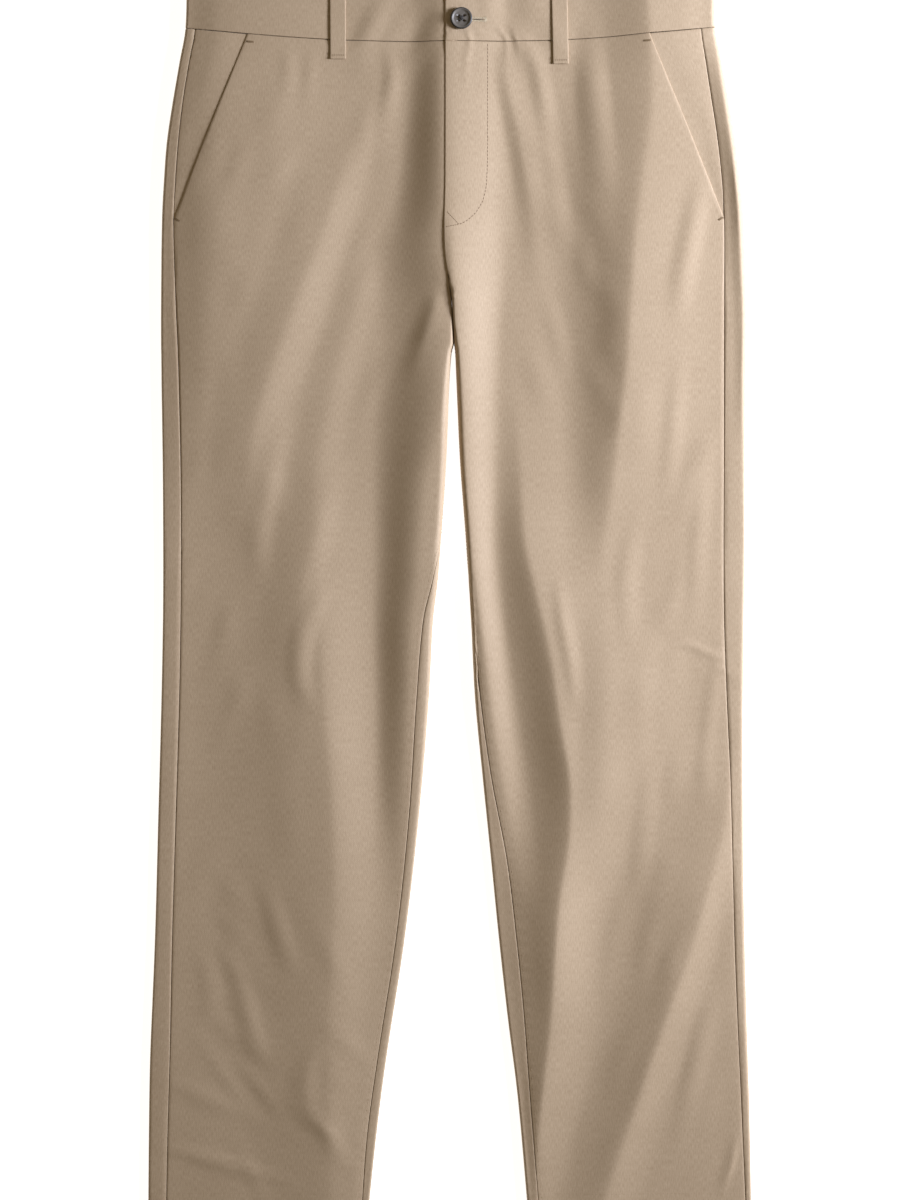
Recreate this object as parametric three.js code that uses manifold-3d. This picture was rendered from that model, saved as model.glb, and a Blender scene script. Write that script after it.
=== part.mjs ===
// A pair of chino trousers laid flat on the back, with the front facing up.
// Millimetres. X runs across the garment, the wearer's left at +X. Y runs up the garment, the waist
// at +Y. Z is the height above the surface that it rests on. X is 0 on the middle of the hips, and
// Y is 0 halfway between the hems and the top of the back waistband.

import * as THREE from 'three';
import Module from 'manifold-3d';
import { mergeVertices } from 'three/addons/utils/BufferGeometryUtils.js';

const wasm = await Module();
wasm.setup();

// Whole garment
const HEM_Y = -540;
const WAIST_SEAM_Y = 475; // at the centre front
const BAND_HEIGHT = 41;
const CROTCH_Y = 255;
const CLOTH = 1.2; // thickness of a panel with its turned edges
const BAND_CLOTH = 2.0;
const SEAM_GAP = 0.3;
const SIDE_LIFT = 12; // how much higher the waist seam is at the sides than at the centre front
const BACK_LIFT = 12; // how much higher again it is at the centre back
const HALF_HIP = 226;
const BACK_REST = 1.7; // height of the back waistband above the surface, on its belt loops

// Fly and crotch
const OVERLAP = 9; // how far the right front runs beneath the left front
const BAND_OVERLAP = 28;
// The left front and waistband lie above the right ones: how far, how far in from the fly's edge
// they keep that height, and the distance over which it then falls away.
const FLY_RAISE = { step: 1.7, hold: 30, fall: 20 };
const BAND_RAISE = { step: 2.5, hold: 31, fall: 22 };
const BAND_PROUD = 0.4; // how far the waistband's face stands above the panels below it
const FLY_END_Y = 292; // below this the two fronts only meet
const CURL_TOP_Y = 290; // below this the centre seams turn down between the legs

// Pockets
const POCKET_TOP = { right: 175, left: 172 }; // distance of the pocket mouth from the centre, at its top
const POCKET_TOP_Y = 480;
const POCKET_END = { right: 235, left: 232.5 };
const POCKET_END_Y = 325;
const FACING_CLOTH = 1.0;
const FACING_LAP = 11;
const FACING_DIP = 1.6;

// Belt loops and button
const LOOP_WIDTH = 13.3;
const LOOP_CLOTH = 1.2;
const LOOP_ARCH = 1.3;
const LOOP_BELOW_SEAM = 16.5;
const FRONT_LOOP = { right: 95.5, left: 93.5 }; // distances from the centre
const BACK_LOOP = 150;
const BUTTON_X = 9.6;
const BUTTON_Y = 495.5;
const BUTTON_RADIUS = 9.35;

// Each leg's outline as distances from the centreline: the outer fold, the side seam, the inner
// fold, and how far in from the inner fold the inseam lies, below 0 where it is on the underside.
const OUTLINE = {
  right: [
    { y: 540, outer: 224.4, seam: 217, inner: 0, inseam: 0 },
    { y: 487, outer: 225.5, seam: 217, inner: 0, inseam: 0 },
    { y: 459, outer: 230.4, seam: 222, inner: 0, inseam: 0 },
    { y: 425, outer: 236.3, seam: 227.4, inner: 0, inseam: 0 },
    { y: 391, outer: 241.4, seam: 231.3, inner: 0, inseam: 0 },
    { y: 357, outer: 244, seam: 233.8, inner: 0, inseam: 0 },
    { y: 323, outer: 245.7, seam: 235.5, inner: 0, inseam: 0 },
    { y: 255, outer: 246.5, seam: 233.6, inner: -1.3, inseam: 0 },
    { y: 217, outer: 246.5, seam: 232, inner: -2.1, inseam: -0.7 },
    { y: 187, outer: 246.2, seam: 231, inner: 0.6, inseam: -1.2 },
    { y: 119, outer: 245.2, seam: 229.6, inner: 3.2, inseam: -1.2 },
    { y: 51, outer: 244.8, seam: 229.2, inner: 7.6, inseam: 0 },
    { y: 17, outer: 244.8, seam: 229.3, inner: 10.2, inseam: 4.5 },
    { y: -17, outer: 245, seam: 229.6, inner: 14.2, inseam: 8.5 },
    { y: -85, outer: 246.3, seam: 230.8, inner: 17.9, inseam: 10.6 },
    { y: -187, outer: 249, seam: 233.8, inner: 26.6, inseam: 8.6 },
    { y: -289, outer: 251.8, seam: 236.8, inner: 38.5, inseam: 7.6 },
    { y: -391, outer: 255.9, seam: 238.9, inner: 54.2, inseam: 7.5 },
    { y: -459, outer: 257, seam: 240.8, inner: 63, inseam: 7.8 },
    { y: -540, outer: 257.6, seam: 242.3, inner: 71.4, inseam: 5 },
  ],
  left: [
    { y: 540, outer: 225.8, seam: 213, inner: 0, inseam: 0 },
    { y: 487, outer: 226, seam: 213.4, inner: 0, inseam: 0 },
    { y: 459, outer: 231.2, seam: 217.2, inner: 0, inseam: 0 },
    { y: 425, outer: 237.2, seam: 222.2, inner: 0, inseam: 0 },
    { y: 391, outer: 243.1, seam: 227.2, inner: 0, inseam: 0 },
    { y: 357, outer: 247.4, seam: 230.8, inner: 0, inseam: 0 },
    { y: 323, outer: 250.2, seam: 232.8, inner: 0, inseam: 0 },
    { y: 255, outer: 252.5, seam: 233, inner: 1.9, inseam: 0 },
    { y: 217, outer: 252.4, seam: 233, inner: 3.2, inseam: -0.7 },
    { y: 187, outer: 251.8, seam: 233.1, inner: 5.1, inseam: -1.2 },
    { y: 119, outer: 251.6, seam: 233.4, inner: 8.5, inseam: -1.2 },
    { y: 51, outer: 251.6, seam: 233.3, inner: 13.6, inseam: -0.8 },
    { y: -17, outer: 250.8, seam: 233.6, inner: 17.9, inseam: 1.5 },
    { y: -85, outer: 250, seam: 236, inner: 21.4, inseam: 4.6 },
    { y: -153, outer: 249.9, seam: 239, inner: 28, inseam: 7.5 },
    { y: -221, outer: 250.2, seam: 240.8, inner: 34.9, inseam: 13.5 },
    { y: -289, outer: 251.3, seam: 242.3, inner: 41.7, inseam: 15 },
    { y: -357, outer: 253, seam: 244.8, inner: 49.3, inseam: 14 },
    { y: -425, outer: 255.2, seam: 248, inner: 57.8, inseam: 10.5 },
    { y: -540, outer: 257.6, seam: 253.2, inner: 68, inseam: 9.5 },
  ],
};

// The centre front line: down the edge of the fly, then the seam that turns in between the legs.
const CENTRE_FRONT = [
  { y: 540, x: -4.2 },
  { y: 357, x: -4.4 },
  { y: 323, x: -5.2 },
  { y: 300, x: -5 },
  { y: 285, x: -3.4 },
  { y: 270, x: -0.4 },
  { y: 255, x: 1.6 },
];

// Height of the folded edges and of the cloth between them, at each level, and how far the height
// of the inner edge runs out into each leg.
const HEIGHTS = [
  { y: 540, outer: 9, inner: 12, middle: 9, right: 34, left: 70 },
  { y: 490, outer: 9, inner: 12.5, middle: 9, right: 38, left: 70 },
  { y: 400, outer: 10, inner: 15, middle: 7, right: 42, left: 66 },
  { y: 300, outer: 9.5, inner: 17, middle: 5.6, right: 44, left: 60 },
  { y: 217, outer: 9, inner: 17.5, middle: 5, right: 48, left: 54 },
  { y: 100, outer: 8, inner: 16.5, middle: 4.6, right: 50, left: 46 },
  { y: 0, outer: 7.5, inner: 15.5, middle: 4.5, right: 48, left: 42 },
  { y: -150, outer: 7.2, inner: 13.5, middle: 4.5, right: 44, left: 38 },
  { y: -300, outer: 7, inner: 11, middle: 4.5, right: 36, left: 32 },
  { y: -540, outer: 6.5, inner: 8, middle: 4.5, right: 28, left: 26 },
];
const OUTER_REACH = 26;
const EDGE_ROUNDNESS = 0.36; // width of a folded edge's curve as a share of its height
const LEAST_HEIGHT = 3.3;

// The largest folds. Each runs from its upper end to its lower end, bowed sideways in the middle,
// with its own reach on the -X and +X sides and the share of its length over which each end dies out.
const FOLDS = {
  both: [
    { x0: -7, y0: 501, x1: -3, y1: 230, bow: 0, high: 5, minus: 53, plus: 60, start: 0.15, end: 0.3 },
  ],
  right: [
    { x0: -194, y0: 501, x1: -207, y1: 68, bow: 0, high: 6, minus: 43, plus: 128, start: 0.1, end: 0.5 },
    { x0: -8, y0: 272, x1: -42, y1: 68, bow: -5, high: 3.5, minus: 37, plus: 26, start: 0.4, end: 0.5 },
    { x0: -10, y0: 230, x1: -29, y1: -187, bow: 2, high: 3.5, minus: 34, plus: 22, start: 0.2, end: 0.35 },
    { x0: -90, y0: 408, x1: -182, y1: 51, bow: 8, high: 2.8, minus: 60, plus: 29, start: 0.35, end: 0.35 },
    { x0: -80, y0: 144, x1: -140, y1: -102, bow: 10, high: 3, minus: 37, plus: 29, start: 0.3, end: 0.4 },
    { x0: -109, y0: 0, x1: -83, y1: -450, bow: -3, high: 6.5, minus: 76, plus: 39, start: 0.25, end: 0.35 },
  ],
  left: [
    { x0: 17, y0: 297, x1: 48, y1: -221, bow: -2, high: 3.5, minus: 22, plus: 29, start: 0.2, end: 0.35 },
    { x0: 161, y0: 484, x1: 133, y1: 34, bow: 7, high: 9, minus: 78, plus: 82, start: 0.2, end: 0.35 },
    { x0: 81, y0: 153, x1: 82, y1: -493, bow: 12, high: 10, minus: 37, plus: 76, start: 0.25, end: 0.3 },
    { x0: 253, y0: -145, x1: 119, y1: -544, bow: 0, high: 8, minus: 54, plus: 52, start: 0.25, end: 0.2 },
    { x0: 204, y0: 442, x1: 226, y1: -34, bow: 0, high: 3, minus: 34, plus: 26, start: 0.3, end: 0.3 },
  ],
};

// Rows of points up the garment and the number of steps across each piece
const FRONT_COLUMNS = 19;
const BACK_COLUMNS = 18;
const BAND_COLUMNS = 26;
const BODY_ROWS = [302, 320, 345, 375, 405, 432, 456];
const LEG_ROWS = [
  -540, -500, -455, -405, -355, -305, -255, -205, -155, -108, -65, -28, 8, 45, 82, 120, 158, 195,
  228, 255, 265, 276, 288,
];

const clamp01 = (t) => Math.min(Math.max(t, 0), 1);
const ease = (t) => clamp01(t) ** 2 * (3 - 2 * clamp01(t));
const mix = (a, b, t) => a + (b - a) * t;

// A smooth curve through one column of a table whose rows go from high y to low y.
function along(rows, column, y) {
  const last = rows.length - 1;
  const top = rows[0].y;
  const at = Math.min(Math.max(y, rows[last].y), top);
  let i = 0;
  while (i < last - 1 && rows[i + 1].y > at) {
    i += 1;
  }
  const slope = (k) => {
    const a = rows[Math.max(k - 1, 0)];
    const b = rows[Math.min(k + 1, last)];
    return (b[column] - a[column]) / (b.y - a.y);
  };
  const span = rows[i + 1].y - rows[i].y;
  const t = (at - rows[i].y) / span;
  const ends = (2 * t ** 3 - 3 * t ** 2 + 1) * rows[i][column] + (3 * t ** 2 - 2 * t ** 3) * rows[i + 1][column];
  return ends + span * ((t ** 3 - 2 * t ** 2 + t) * slope(i) + (t ** 3 - t ** 2) * slope(i + 1));
}

const sideSign = (side) => (side === 'right' ? -1 : 1);
const radians = THREE.MathUtils.degToRad;
const rise = (y) => ease((y - 330) / (WAIST_SEAM_Y - 330));
const hipShare = (d) => Math.min(Math.abs(d), HALF_HIP) / HALF_HIP;
const frontLift = (d, y) => SIDE_LIFT * hipShare(d) ** 2.2 * rise(y);
const backLift = (d, y) => (SIDE_LIFT + BACK_LIFT * (1 - hipShare(d) ** 2)) * rise(y);
const floorHeight = (y) => BACK_REST * ease((y - 395) / 55);
const centreBack = (y) => 1.6 * (1 - ease((y - CROTCH_Y) / (CURL_TOP_Y - CROTCH_Y)));

// Height that the folds add to the laid front at a point.
function foldHeight(side, x, y) {
  let height = 0;
  for (const fold of [...FOLDS.both, ...FOLDS[side]]) {
    const dx = fold.x1 - fold.x0;
    const dy = fold.y1 - fold.y0;
    const length = Math.hypot(dx, dy);
    const s = ((x - fold.x0) * dx + (y - fold.y0) * dy) / length ** 2;
    const across = ((y - fold.y0) * dx - (x - fold.x0) * dy) / length - fold.bow * 4 * s * (1 - s);
    const reach = across > 0 ? fold.plus : fold.minus;
    const ends = ease(s / fold.start) * ease((1 - s) / fold.end);
    height += fold.high * clamp01(1 - (across / reach) ** 2) ** 2 * ends;
  }
  return height;
}

// Outer height of the front over a point, before the folded edges round it off.
function frontHeight(side, x, y) {
  const sign = sideSign(side);
  const d = sign * x;
  const inner = y > CROTCH_Y ? along(CENTRE_FRONT, 'x', y) * sign : along(OUTLINE[side], 'inner', y);
  const fromOuter = along(OUTLINE[side], 'outer', y) - d;
  const fromInner = d - inner;
  const middle = along(HEIGHTS, 'middle', y);
  const outerRise = along(HEIGHTS, 'outer', y) - middle;
  const innerRise = along(HEIGHTS, 'inner', y) - middle;
  const curl = ease((CURL_TOP_Y - y) / (CURL_TOP_Y - CROTCH_Y));
  const clear = ease(fromOuter / 14) * (1 - (1 - ease(fromInner / 14)) * curl);
  const height =
    middle +
    outerRise * (1 - ease((fromOuter - 3) / OUTER_REACH)) +
    innerRise * (1 - ease((fromInner - 3) / along(HEIGHTS, side, y))) +
    foldHeight(side, x, y) * clear;
  return Math.max(height, LEAST_HEIGHT + 0.15 * (height - LEAST_HEIGHT));
}

// Height of the layer that a side's front follows: past the fly's edge that is the other side's.
function layerHeight(side, x, y) {
  const over = y > FLY_END_Y && x > along(CENTRE_FRONT, 'x', y) ? 'left' : side;
  return frontHeight(over, x, y);
}

// How far a layer of the left front is raised above the right front near the fly.
function flyRaise(side, x, y, raise) {
  if (side === 'right') {
    return 0;
  }
  const past = x - along(CENTRE_FRONT, 'x', y);
  return raise.step * (1 - ease((past - raise.hold) / raise.fall)) * ease((y - CROTCH_Y - 8) / 22);
}

// A point on a folded edge: the angle is 90 at its upper end, 0 at the fold and -90 beneath.
function edgePoint(reach, inwards, width, high, low, degrees) {
  return {
    d: reach + inwards * width * (1 - Math.cos(radians(degrees))),
    z: (high + low) / 2 + ((high - low) / 2) * Math.sin(radians(degrees)),
  };
}

// Shape of the inner fold at a level: its reach, its height and width, and where its seam lies.
function innerEdge(side, y, isBack) {
  const sign = sideSign(side);
  const joined = y > CROTCH_Y;
  const line = isBack ? centreBack(y) : along(CENTRE_FRONT, 'x', y);
  const inner = joined ? sign * line : along(OUTLINE[side], 'inner', y);
  const near = sign * (inner + 5);
  const high = frontHeight(side, near, y) + flyRaise(side, near, y, FLY_RAISE);
  const width = EDGE_ROUNDNESS * high;
  if (joined) {
    const turn = 90 * ease((y - CROTCH_Y) / (CURL_TOP_Y - CROTCH_Y));
    const angle = isBack ? -turn : turn;
    return { reach: inner - width * (1 - Math.cos(radians(angle))), high, width, angle, strip: 0 };
  }
  const inseam = along(OUTLINE[side], 'inseam', y);
  const angle = THREE.MathUtils.radToDeg(Math.acos(clamp01(1 - Math.abs(inseam) / width)));
  return { reach: inner, high, width, angle: Math.sign(inseam) * angle, strip: Math.max(inseam - width, 0) };
}

// Distance from the centre at which the front panel starts: the side seam or the pocket's mouth.
function frontStart(side, y) {
  const seam = along(OUTLINE[side], 'seam', y);
  const t = (y - POCKET_END_Y) / (POCKET_TOP_Y - POCKET_END_Y);
  return t < 0 ? seam : Math.min(seam, mix(POCKET_END[side], POCKET_TOP[side], t));
}

// A run of closely spaced points between two distances from the centre.
function run(from, to, count, place) {
  return Array.from({ length: count + 1 }, (_, i) => place(mix(from, to, i / count)));
}

// The front's outer face at one level, from its outer edge to the inseam or the centre front.
function frontPath(side, y) {
  const sign = sideSign(side);
  const start = frontStart(side, y + SIDE_LIFT * rise(y));
  const edge = innerEdge(side, y, false);
  const lap = side === 'right' ? OVERLAP * ease((y - FLY_END_Y) / 27) : 0;
  const topEnd = edge.reach + edge.width + edge.strip - lap;
  const top = run(start, topEnd, 70, (d) => {
    const x = sign * d;
    const py = y + frontLift(d, y);
    const tuck = 0.7 * ease((topEnd + lap - d) / OVERLAP);
    return [x, py, layerHeight(side, x, py) + flyRaise(side, x, py, FLY_RAISE) - tuck];
  });
  if (edge.strip > 0 || edge.angle > 89) {
    return top;
  }
  const turned = run(90, edge.angle, 24, (degrees) => {
    const p = edgePoint(edge.reach, 1, edge.width, edge.high, 0, degrees);
    return [sign * p.d, y, p.z];
  });
  return [...top, ...turned.slice(1)];
}

// The back's outer face at one level: from the side seam round the outer fold, beneath, and up
// round the inner fold to the inseam or to the centre back.
function backPath(side, y) {
  const sign = sideSign(side);
  const edgeY = y + SIDE_LIFT * rise(y);
  const outer = along(OUTLINE[side], 'outer', edgeY);
  const low = floorHeight(y);
  const high = frontHeight(side, sign * (outer - 4), edgeY);
  const width = EDGE_ROUNDNESS * (high - low);
  const edge = innerEdge(side, y, true);
  const onTop = (d) => [sign * d, y + frontLift(d, y), layerHeight(side, sign * d, y + frontLift(d, y))];
  const top = run(along(OUTLINE[side], 'seam', edgeY), outer - width, 10, onTop);
  const fold = run(90, -90, 24, (degrees) => {
    const p = edgePoint(outer, -1, width, high, low, degrees);
    const lift = degrees > 0 ? frontLift(p.d, y) : backLift(p.d, y);
    return [sign * p.d, y + lift, p.z];
  });
  const beneath = run(outer - width, edge.reach + edge.width, 24, (d) => [sign * d, y + backLift(d, y), low]);
  const path = [...top, ...fold.slice(1), ...beneath.slice(1)];
  if (edge.angle > -89) {
    const lift = backLift(0, y);
    path.push(
      ...run(-90, edge.angle, 24, (degrees) => {
        const p = edgePoint(edge.reach, 1, edge.width, edge.high, 0, degrees);
        return [sign * p.d, y + lift, Math.max(p.z, low)];
      }).slice(1),
    );
  }
  if (edge.strip > 0) {
    const seam = edge.reach + edge.width + edge.strip;
    path.push(...run(edge.reach + edge.width, seam, 6, onTop).slice(1));
  }
  return path;
}

// The waistband's outer face at one level, from the centre front round the side to the centre back.
function bandPath(side, y) {
  const sign = sideSign(side);
  const edgeY = y + SIDE_LIFT;
  const outer = along(OUTLINE[side], 'outer', edgeY);
  const high = frontHeight(side, sign * (outer - 4), edgeY) + BAND_PROUD;
  const width = EDGE_ROUNDNESS * (high - BACK_REST);
  const end = sign * along(CENTRE_FRONT, 'x', y);
  const start = side === 'right' ? end - BAND_OVERLAP : end;
  const top = run(start, outer - width, 60, (d) => {
    const x = sign * d;
    const py = y + frontLift(d, y);
    const raise = flyRaise(side, x, py, BAND_RAISE);
    const tuck = side === 'right' ? 0.5 * ease((end - d) / 10) : 0;
    return [x, py, layerHeight(side, x, py) + BAND_PROUD + raise - tuck];
  });
  const fold = run(90, -90, 24, (degrees) => {
    const p = edgePoint(outer, -1, width, high, BACK_REST, degrees);
    const lift = degrees > 0 ? frontLift(p.d, y) : backLift(p.d, y);
    return [sign * p.d, y + lift, p.z];
  });
  const beneath = run(outer - width, 0, 24, (d) => [sign * d, y + backLift(d, y), BACK_REST]);
  return [...top, ...fold.slice(1), ...beneath.slice(1)];
}

// The pocket facing's outer face at one level: it runs from beneath the front, dipping a little at
// the pocket's mouth, up to the side seam.
function facingPath(side, y) {
  const sign = sideSign(side);
  const edgeY = y + SIDE_LIFT * rise(y);
  const mouth = frontStart(side, edgeY);
  const seam = along(OUTLINE[side], 'seam', edgeY);
  const level = (y - POCKET_END_Y) / (POCKET_TOP_Y - POCKET_END_Y);
  const dip = CLOTH + 0.4 + FACING_DIP * Math.sin(Math.PI * clamp01(level)) ** 2;
  return run(mouth - FACING_LAP, seam, 30, (d) => {
    const py = y + frontLift(d, y);
    const out = ease((d - mouth) / Math.max(seam - mouth, 12));
    return [sign * d, py, frontHeight(side, sign * d, py) - dip * (1 - out)];
  });
}

// Shortens a path at its two ends and spaces its points out again, closer where it turns. Each point
// keeps the path's direction there.
function respace(path, count, trimStart, trimEnd) {
  const TURN_WEIGHT = 9; // millimetres of straight path that a turn of one radian counts as
  const points = path.map((p) => new THREE.Vector3(...p)).filter((p, i, all) => i === 0 || p.distanceTo(all[i - 1]) > 1e-4);
  const steps = points.slice(1).map((p, i) => p.clone().sub(points[i]));
  const weights = steps.map((step, i) => step.length() + TURN_WEIGHT * step.angleTo(steps[Math.min(i + 1, steps.length - 1)]));
  const trimmed = (list, lengths, trim) => {
    let left = trim;
    let weight = 0;
    for (let i = 0; i < list.length && left > 0; i += 1) {
      const share = Math.min(left / lengths[i], 1);
      weight += share * list[i];
      left -= share * lengths[i];
    }
    return weight;
  };
  const lengths = steps.map((step) => step.length());
  const total = weights.reduce((sum, w) => sum + w, 0);
  const first = trimmed(weights, lengths, trimStart);
  const last = total - trimmed([...weights].reverse(), [...lengths].reverse(), trimEnd);
  return Array.from({ length: count + 1 }, (_, k) => {
    let left = mix(first, last, k / count);
    let i = 0;
    while (i < steps.length - 1 && left > weights[i]) {
      left -= weights[i];
      i += 1;
    }
    const share = clamp01(left / weights[i]);
    const before = steps[Math.max(share < 0.5 ? i - 1 : i, 0)].clone().normalize();
    const after = steps[Math.min(share < 0.5 ? i : i + 1, steps.length - 1)].clone().normalize();
    return { at: points[i].clone().addScaledVector(steps[i], share), heading: before.add(after).normalize() };
  });
}

// A wall of cloth from rows of points on its outer face. outward is 1 where the cross product of
// the row's direction and +Y points out of the garment, and -1 where it points in.
function wall(rows, thickness, outward) {
  const columns = rows[0].length;
  const positions = [];
  const normalAt = (j, i) => {
    const up = rows[Math.min(j + 1, rows.length - 1)][i].at.clone().sub(rows[Math.max(j - 1, 0)][i].at);
    return rows[j][i].heading.clone().cross(up).normalize().multiplyScalar(outward);
  };
  for (const depth of [0, thickness]) {
    rows.forEach((row, j) => {
      row.forEach((p, i) => positions.push(...p.at.clone().addScaledVector(normalAt(j, i), -depth).toArray()));
    });
  }
  const inner = rows.length * columns;
  const index = [];
  const quad = (a, b, c, d) => (outward > 0 ? index.push(a, b, c, a, c, d) : index.push(a, c, b, a, d, c));
  for (let j = 0; j < rows.length - 1; j += 1) {
    for (let i = 0; i < columns - 1; i += 1) {
      const a = j * columns + i;
      quad(a, a + 1, a + columns + 1, a + columns);
      quad(inner + a + columns, inner + a + columns + 1, inner + a + 1, inner + a);
    }
  }
  const rim = [];
  for (let i = 0; i < columns - 1; i += 1) {
    rim.push(i);
  }
  for (let j = 0; j < rows.length - 1; j += 1) {
    rim.push(j * columns + columns - 1);
  }
  for (let i = columns - 1; i > 0; i -= 1) {
    rim.push((rows.length - 1) * columns + i);
  }
  for (let j = rows.length - 1; j > 0; j -= 1) {
    rim.push(j * columns);
  }
  rim.forEach((a, k) => {
    const b = rim[(k + 1) % rim.length];
    quad(b, a, inner + a, inner + b);
  });
  const geometry = new THREE.BufferGeometry();
  geometry.setAttribute('position', new THREE.Float32BufferAttribute(positions, 3));
  geometry.setIndex(index);
  geometry.computeVertexNormals();
  return geometry;
}

function frontPanel(side) {
  const levels = [...LEG_ROWS, ...BODY_ROWS, WAIST_SEAM_Y - SEAM_GAP / 2];
  const rows = levels.map((y) => {
    const overlapped = side === 'right' && y > FLY_END_Y;
    return respace(frontPath(side, y), FRONT_COLUMNS, SEAM_GAP / 2, overlapped ? 0 : SEAM_GAP / 2);
  });
  return wall(rows, CLOTH, -sideSign(side));
}

function backPanel(side) {
  const levels = [...LEG_ROWS, ...BODY_ROWS, WAIST_SEAM_Y - SEAM_GAP / 2];
  const rows = levels.map((y) => respace(backPath(side, y), BACK_COLUMNS, SEAM_GAP / 2, SEAM_GAP / 2));
  return wall(rows, CLOTH, sideSign(side));
}

function waistband(side) {
  const rows = [0.004, 0.25, 0.5, 0.75, 1].map((t) =>
    respace(bandPath(side, WAIST_SEAM_Y + t * BAND_HEIGHT), BAND_COLUMNS, SEAM_GAP / 2, SEAM_GAP / 2),
  );
  return wall(rows, BAND_CLOTH, sideSign(side));
}

function pocketFacing(side) {
  const levels = [322, 340, 365, 392, 420, 448, WAIST_SEAM_Y - SEAM_GAP / 2];
  const rows = levels.map((y) => respace(facingPath(side, y), 8, 0, SEAM_GAP / 2));
  return wall(rows, FACING_CLOTH, sideSign(side));
}

// A belt loop on the front: it crosses the waistband and ends a little below the waist seam.
function frontLoop(side, d) {
  const bottom = WAIST_SEAM_Y - LOOP_BELOW_SEAM;
  const length = BAND_HEIGHT + LOOP_BELOW_SEAM;
  const clearance = BAND_PROUD + SEAM_GAP + LOOP_CLOTH;
  const rows = Array.from({ length: 10 }, (_, j) => {
    const s = j / 9;
    const path = run(d - LOOP_WIDTH / 2, d + LOOP_WIDTH / 2, 4, (at) => {
      const x = sideSign(side) * at;
      const y = bottom + s * length + frontLift(d, WAIST_SEAM_Y);
      const arch = LOOP_ARCH * Math.sin(Math.PI * s) ** 2;
      return [x, y, frontHeight(side, x, y) + clearance + 0.15 + arch];
    });
    return respace(path, 3, 0, 0);
  });
  return wall(rows, LOOP_CLOTH, sideSign(side));
}

// A belt loop on the back lies flat between the waistband and the surface.
function backLoop(x) {
  const length = BAND_HEIGHT + LOOP_BELOW_SEAM;
  const geometry = new THREE.BoxGeometry(LOOP_WIDTH, length, LOOP_CLOTH);
  const middle = WAIST_SEAM_Y - LOOP_BELOW_SEAM + length / 2 + backLift(x, WAIST_SEAM_Y);
  return geometry.translate(x, middle, LOOP_CLOTH / 2);
}

function toSolid(geometry) {
  const bare = geometry.clone();
  bare.deleteAttribute('normal');
  bare.deleteAttribute('uv');
  const merged = mergeVertices(bare, 1e-4);
  return new wasm.Manifold(
    new wasm.Mesh({
      numProp: 3,
      vertProperties: new Float32Array(merged.attributes.position.array),
      triVerts: new Uint32Array(merged.index.array),
    }),
  );
}

// The button: a dished disc with a raised rim and four holes for its thread.
function button() {
  const r = BUTTON_RADIUS;
  const outline = [
    [0, 0],
    [r - 1.6, 0],
    [r - 0.3, 0.9],
    [r, 1.9],
    [r - 0.5, 2.7],
    [r - 1.5, 3],
    [r - 2.6, 2.6],
    [r - 3.4, 2],
    [0, 2],
  ];
  const disc = new THREE.LatheGeometry(outline.map(([x, z]) => new THREE.Vector2(x, z)), 32).rotateX(Math.PI / 2);
  let solid = toSolid(disc);
  for (const [x, y] of [[1.5, 1.5], [-1.5, 1.5], [-1.5, -1.5], [1.5, -1.5]]) {
    const hole = new THREE.CylinderGeometry(0.85, 0.85, 8, 10).rotateX(Math.PI / 2).translate(x, y, 0);
    solid = solid.subtract(toSolid(hole));
  }
  const mesh = solid.getMesh();
  const geometry = new THREE.BufferGeometry();
  geometry.setAttribute('position', new THREE.Float32BufferAttribute(mesh.vertProperties, 3));
  geometry.setIndex(Array.from(mesh.triVerts));
  geometry.computeVertexNormals();
  return geometry;
}

// The button rests on the highest point of the waistband beneath it.
function buttonHeight() {
  let top = 0;
  for (let k = 0; k < 24; k += 1) {
    const x = BUTTON_X + BUTTON_RADIUS * Math.cos((k * Math.PI) / 12);
    const y = BUTTON_Y + BUTTON_RADIUS * Math.sin((k * Math.PI) / 12);
    top = Math.max(top, frontHeight('left', x, y));
  }
  return top + BAND_PROUD + BAND_RAISE.step + SEAM_GAP;
}

const cloth = new THREE.MeshStandardMaterial({ color: '#b7a083', roughness: 0.9, metalness: 0 });
const facingCloth = new THREE.MeshStandardMaterial({ color: '#b39c7f', roughness: 0.9, metalness: 0 });
const loopCloth = new THREE.MeshStandardMaterial({ color: '#b9a285', roughness: 0.9, metalness: 0 });
const buttonPlastic = new THREE.MeshStandardMaterial({ color: '#403c3c', roughness: 0.45, metalness: 0 });

const trousers = new THREE.Group();

function add(name, geometry, material) {
  const mesh = new THREE.Mesh(geometry, material);
  mesh.name = name;
  trousers.add(mesh);
  return mesh;
}

for (const side of ['right', 'left']) {
  add(`front_${side}`, frontPanel(side), cloth);
  add(`back_${side}`, backPanel(side), cloth);
  add(`waistband_${side}`, waistband(side), cloth);
  add(`pocket_facing_${side}`, pocketFacing(side), facingCloth);
  add(`belt_loop_front_${side}`, frontLoop(side, FRONT_LOOP[side]), loopCloth);
  add(`belt_loop_back_${side}`, backLoop(sideSign(side) * BACK_LOOP), loopCloth);
}
add('belt_loop_centre_back', backLoop(0), loopCloth);
add('button', button(), buttonPlastic).position.set(BUTTON_X, BUTTON_Y, buttonHeight());

export default trousers;
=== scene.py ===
"""Dress the chino trousers, which lie flat on their back with the front facing up.

The tables give millimetres. X runs across the garment with the wearer's left at +X, Y runs up the
garment to the waist, and Z is the height above the surface. Meshes are written in metres.
"""

import logging
import math
from collections.abc import Callable
from dataclasses import dataclass, field
from enum import Enum
from functools import cached_property

import bmesh
import bpy
import numpy as np
from mathutils import Matrix, Vector

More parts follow.
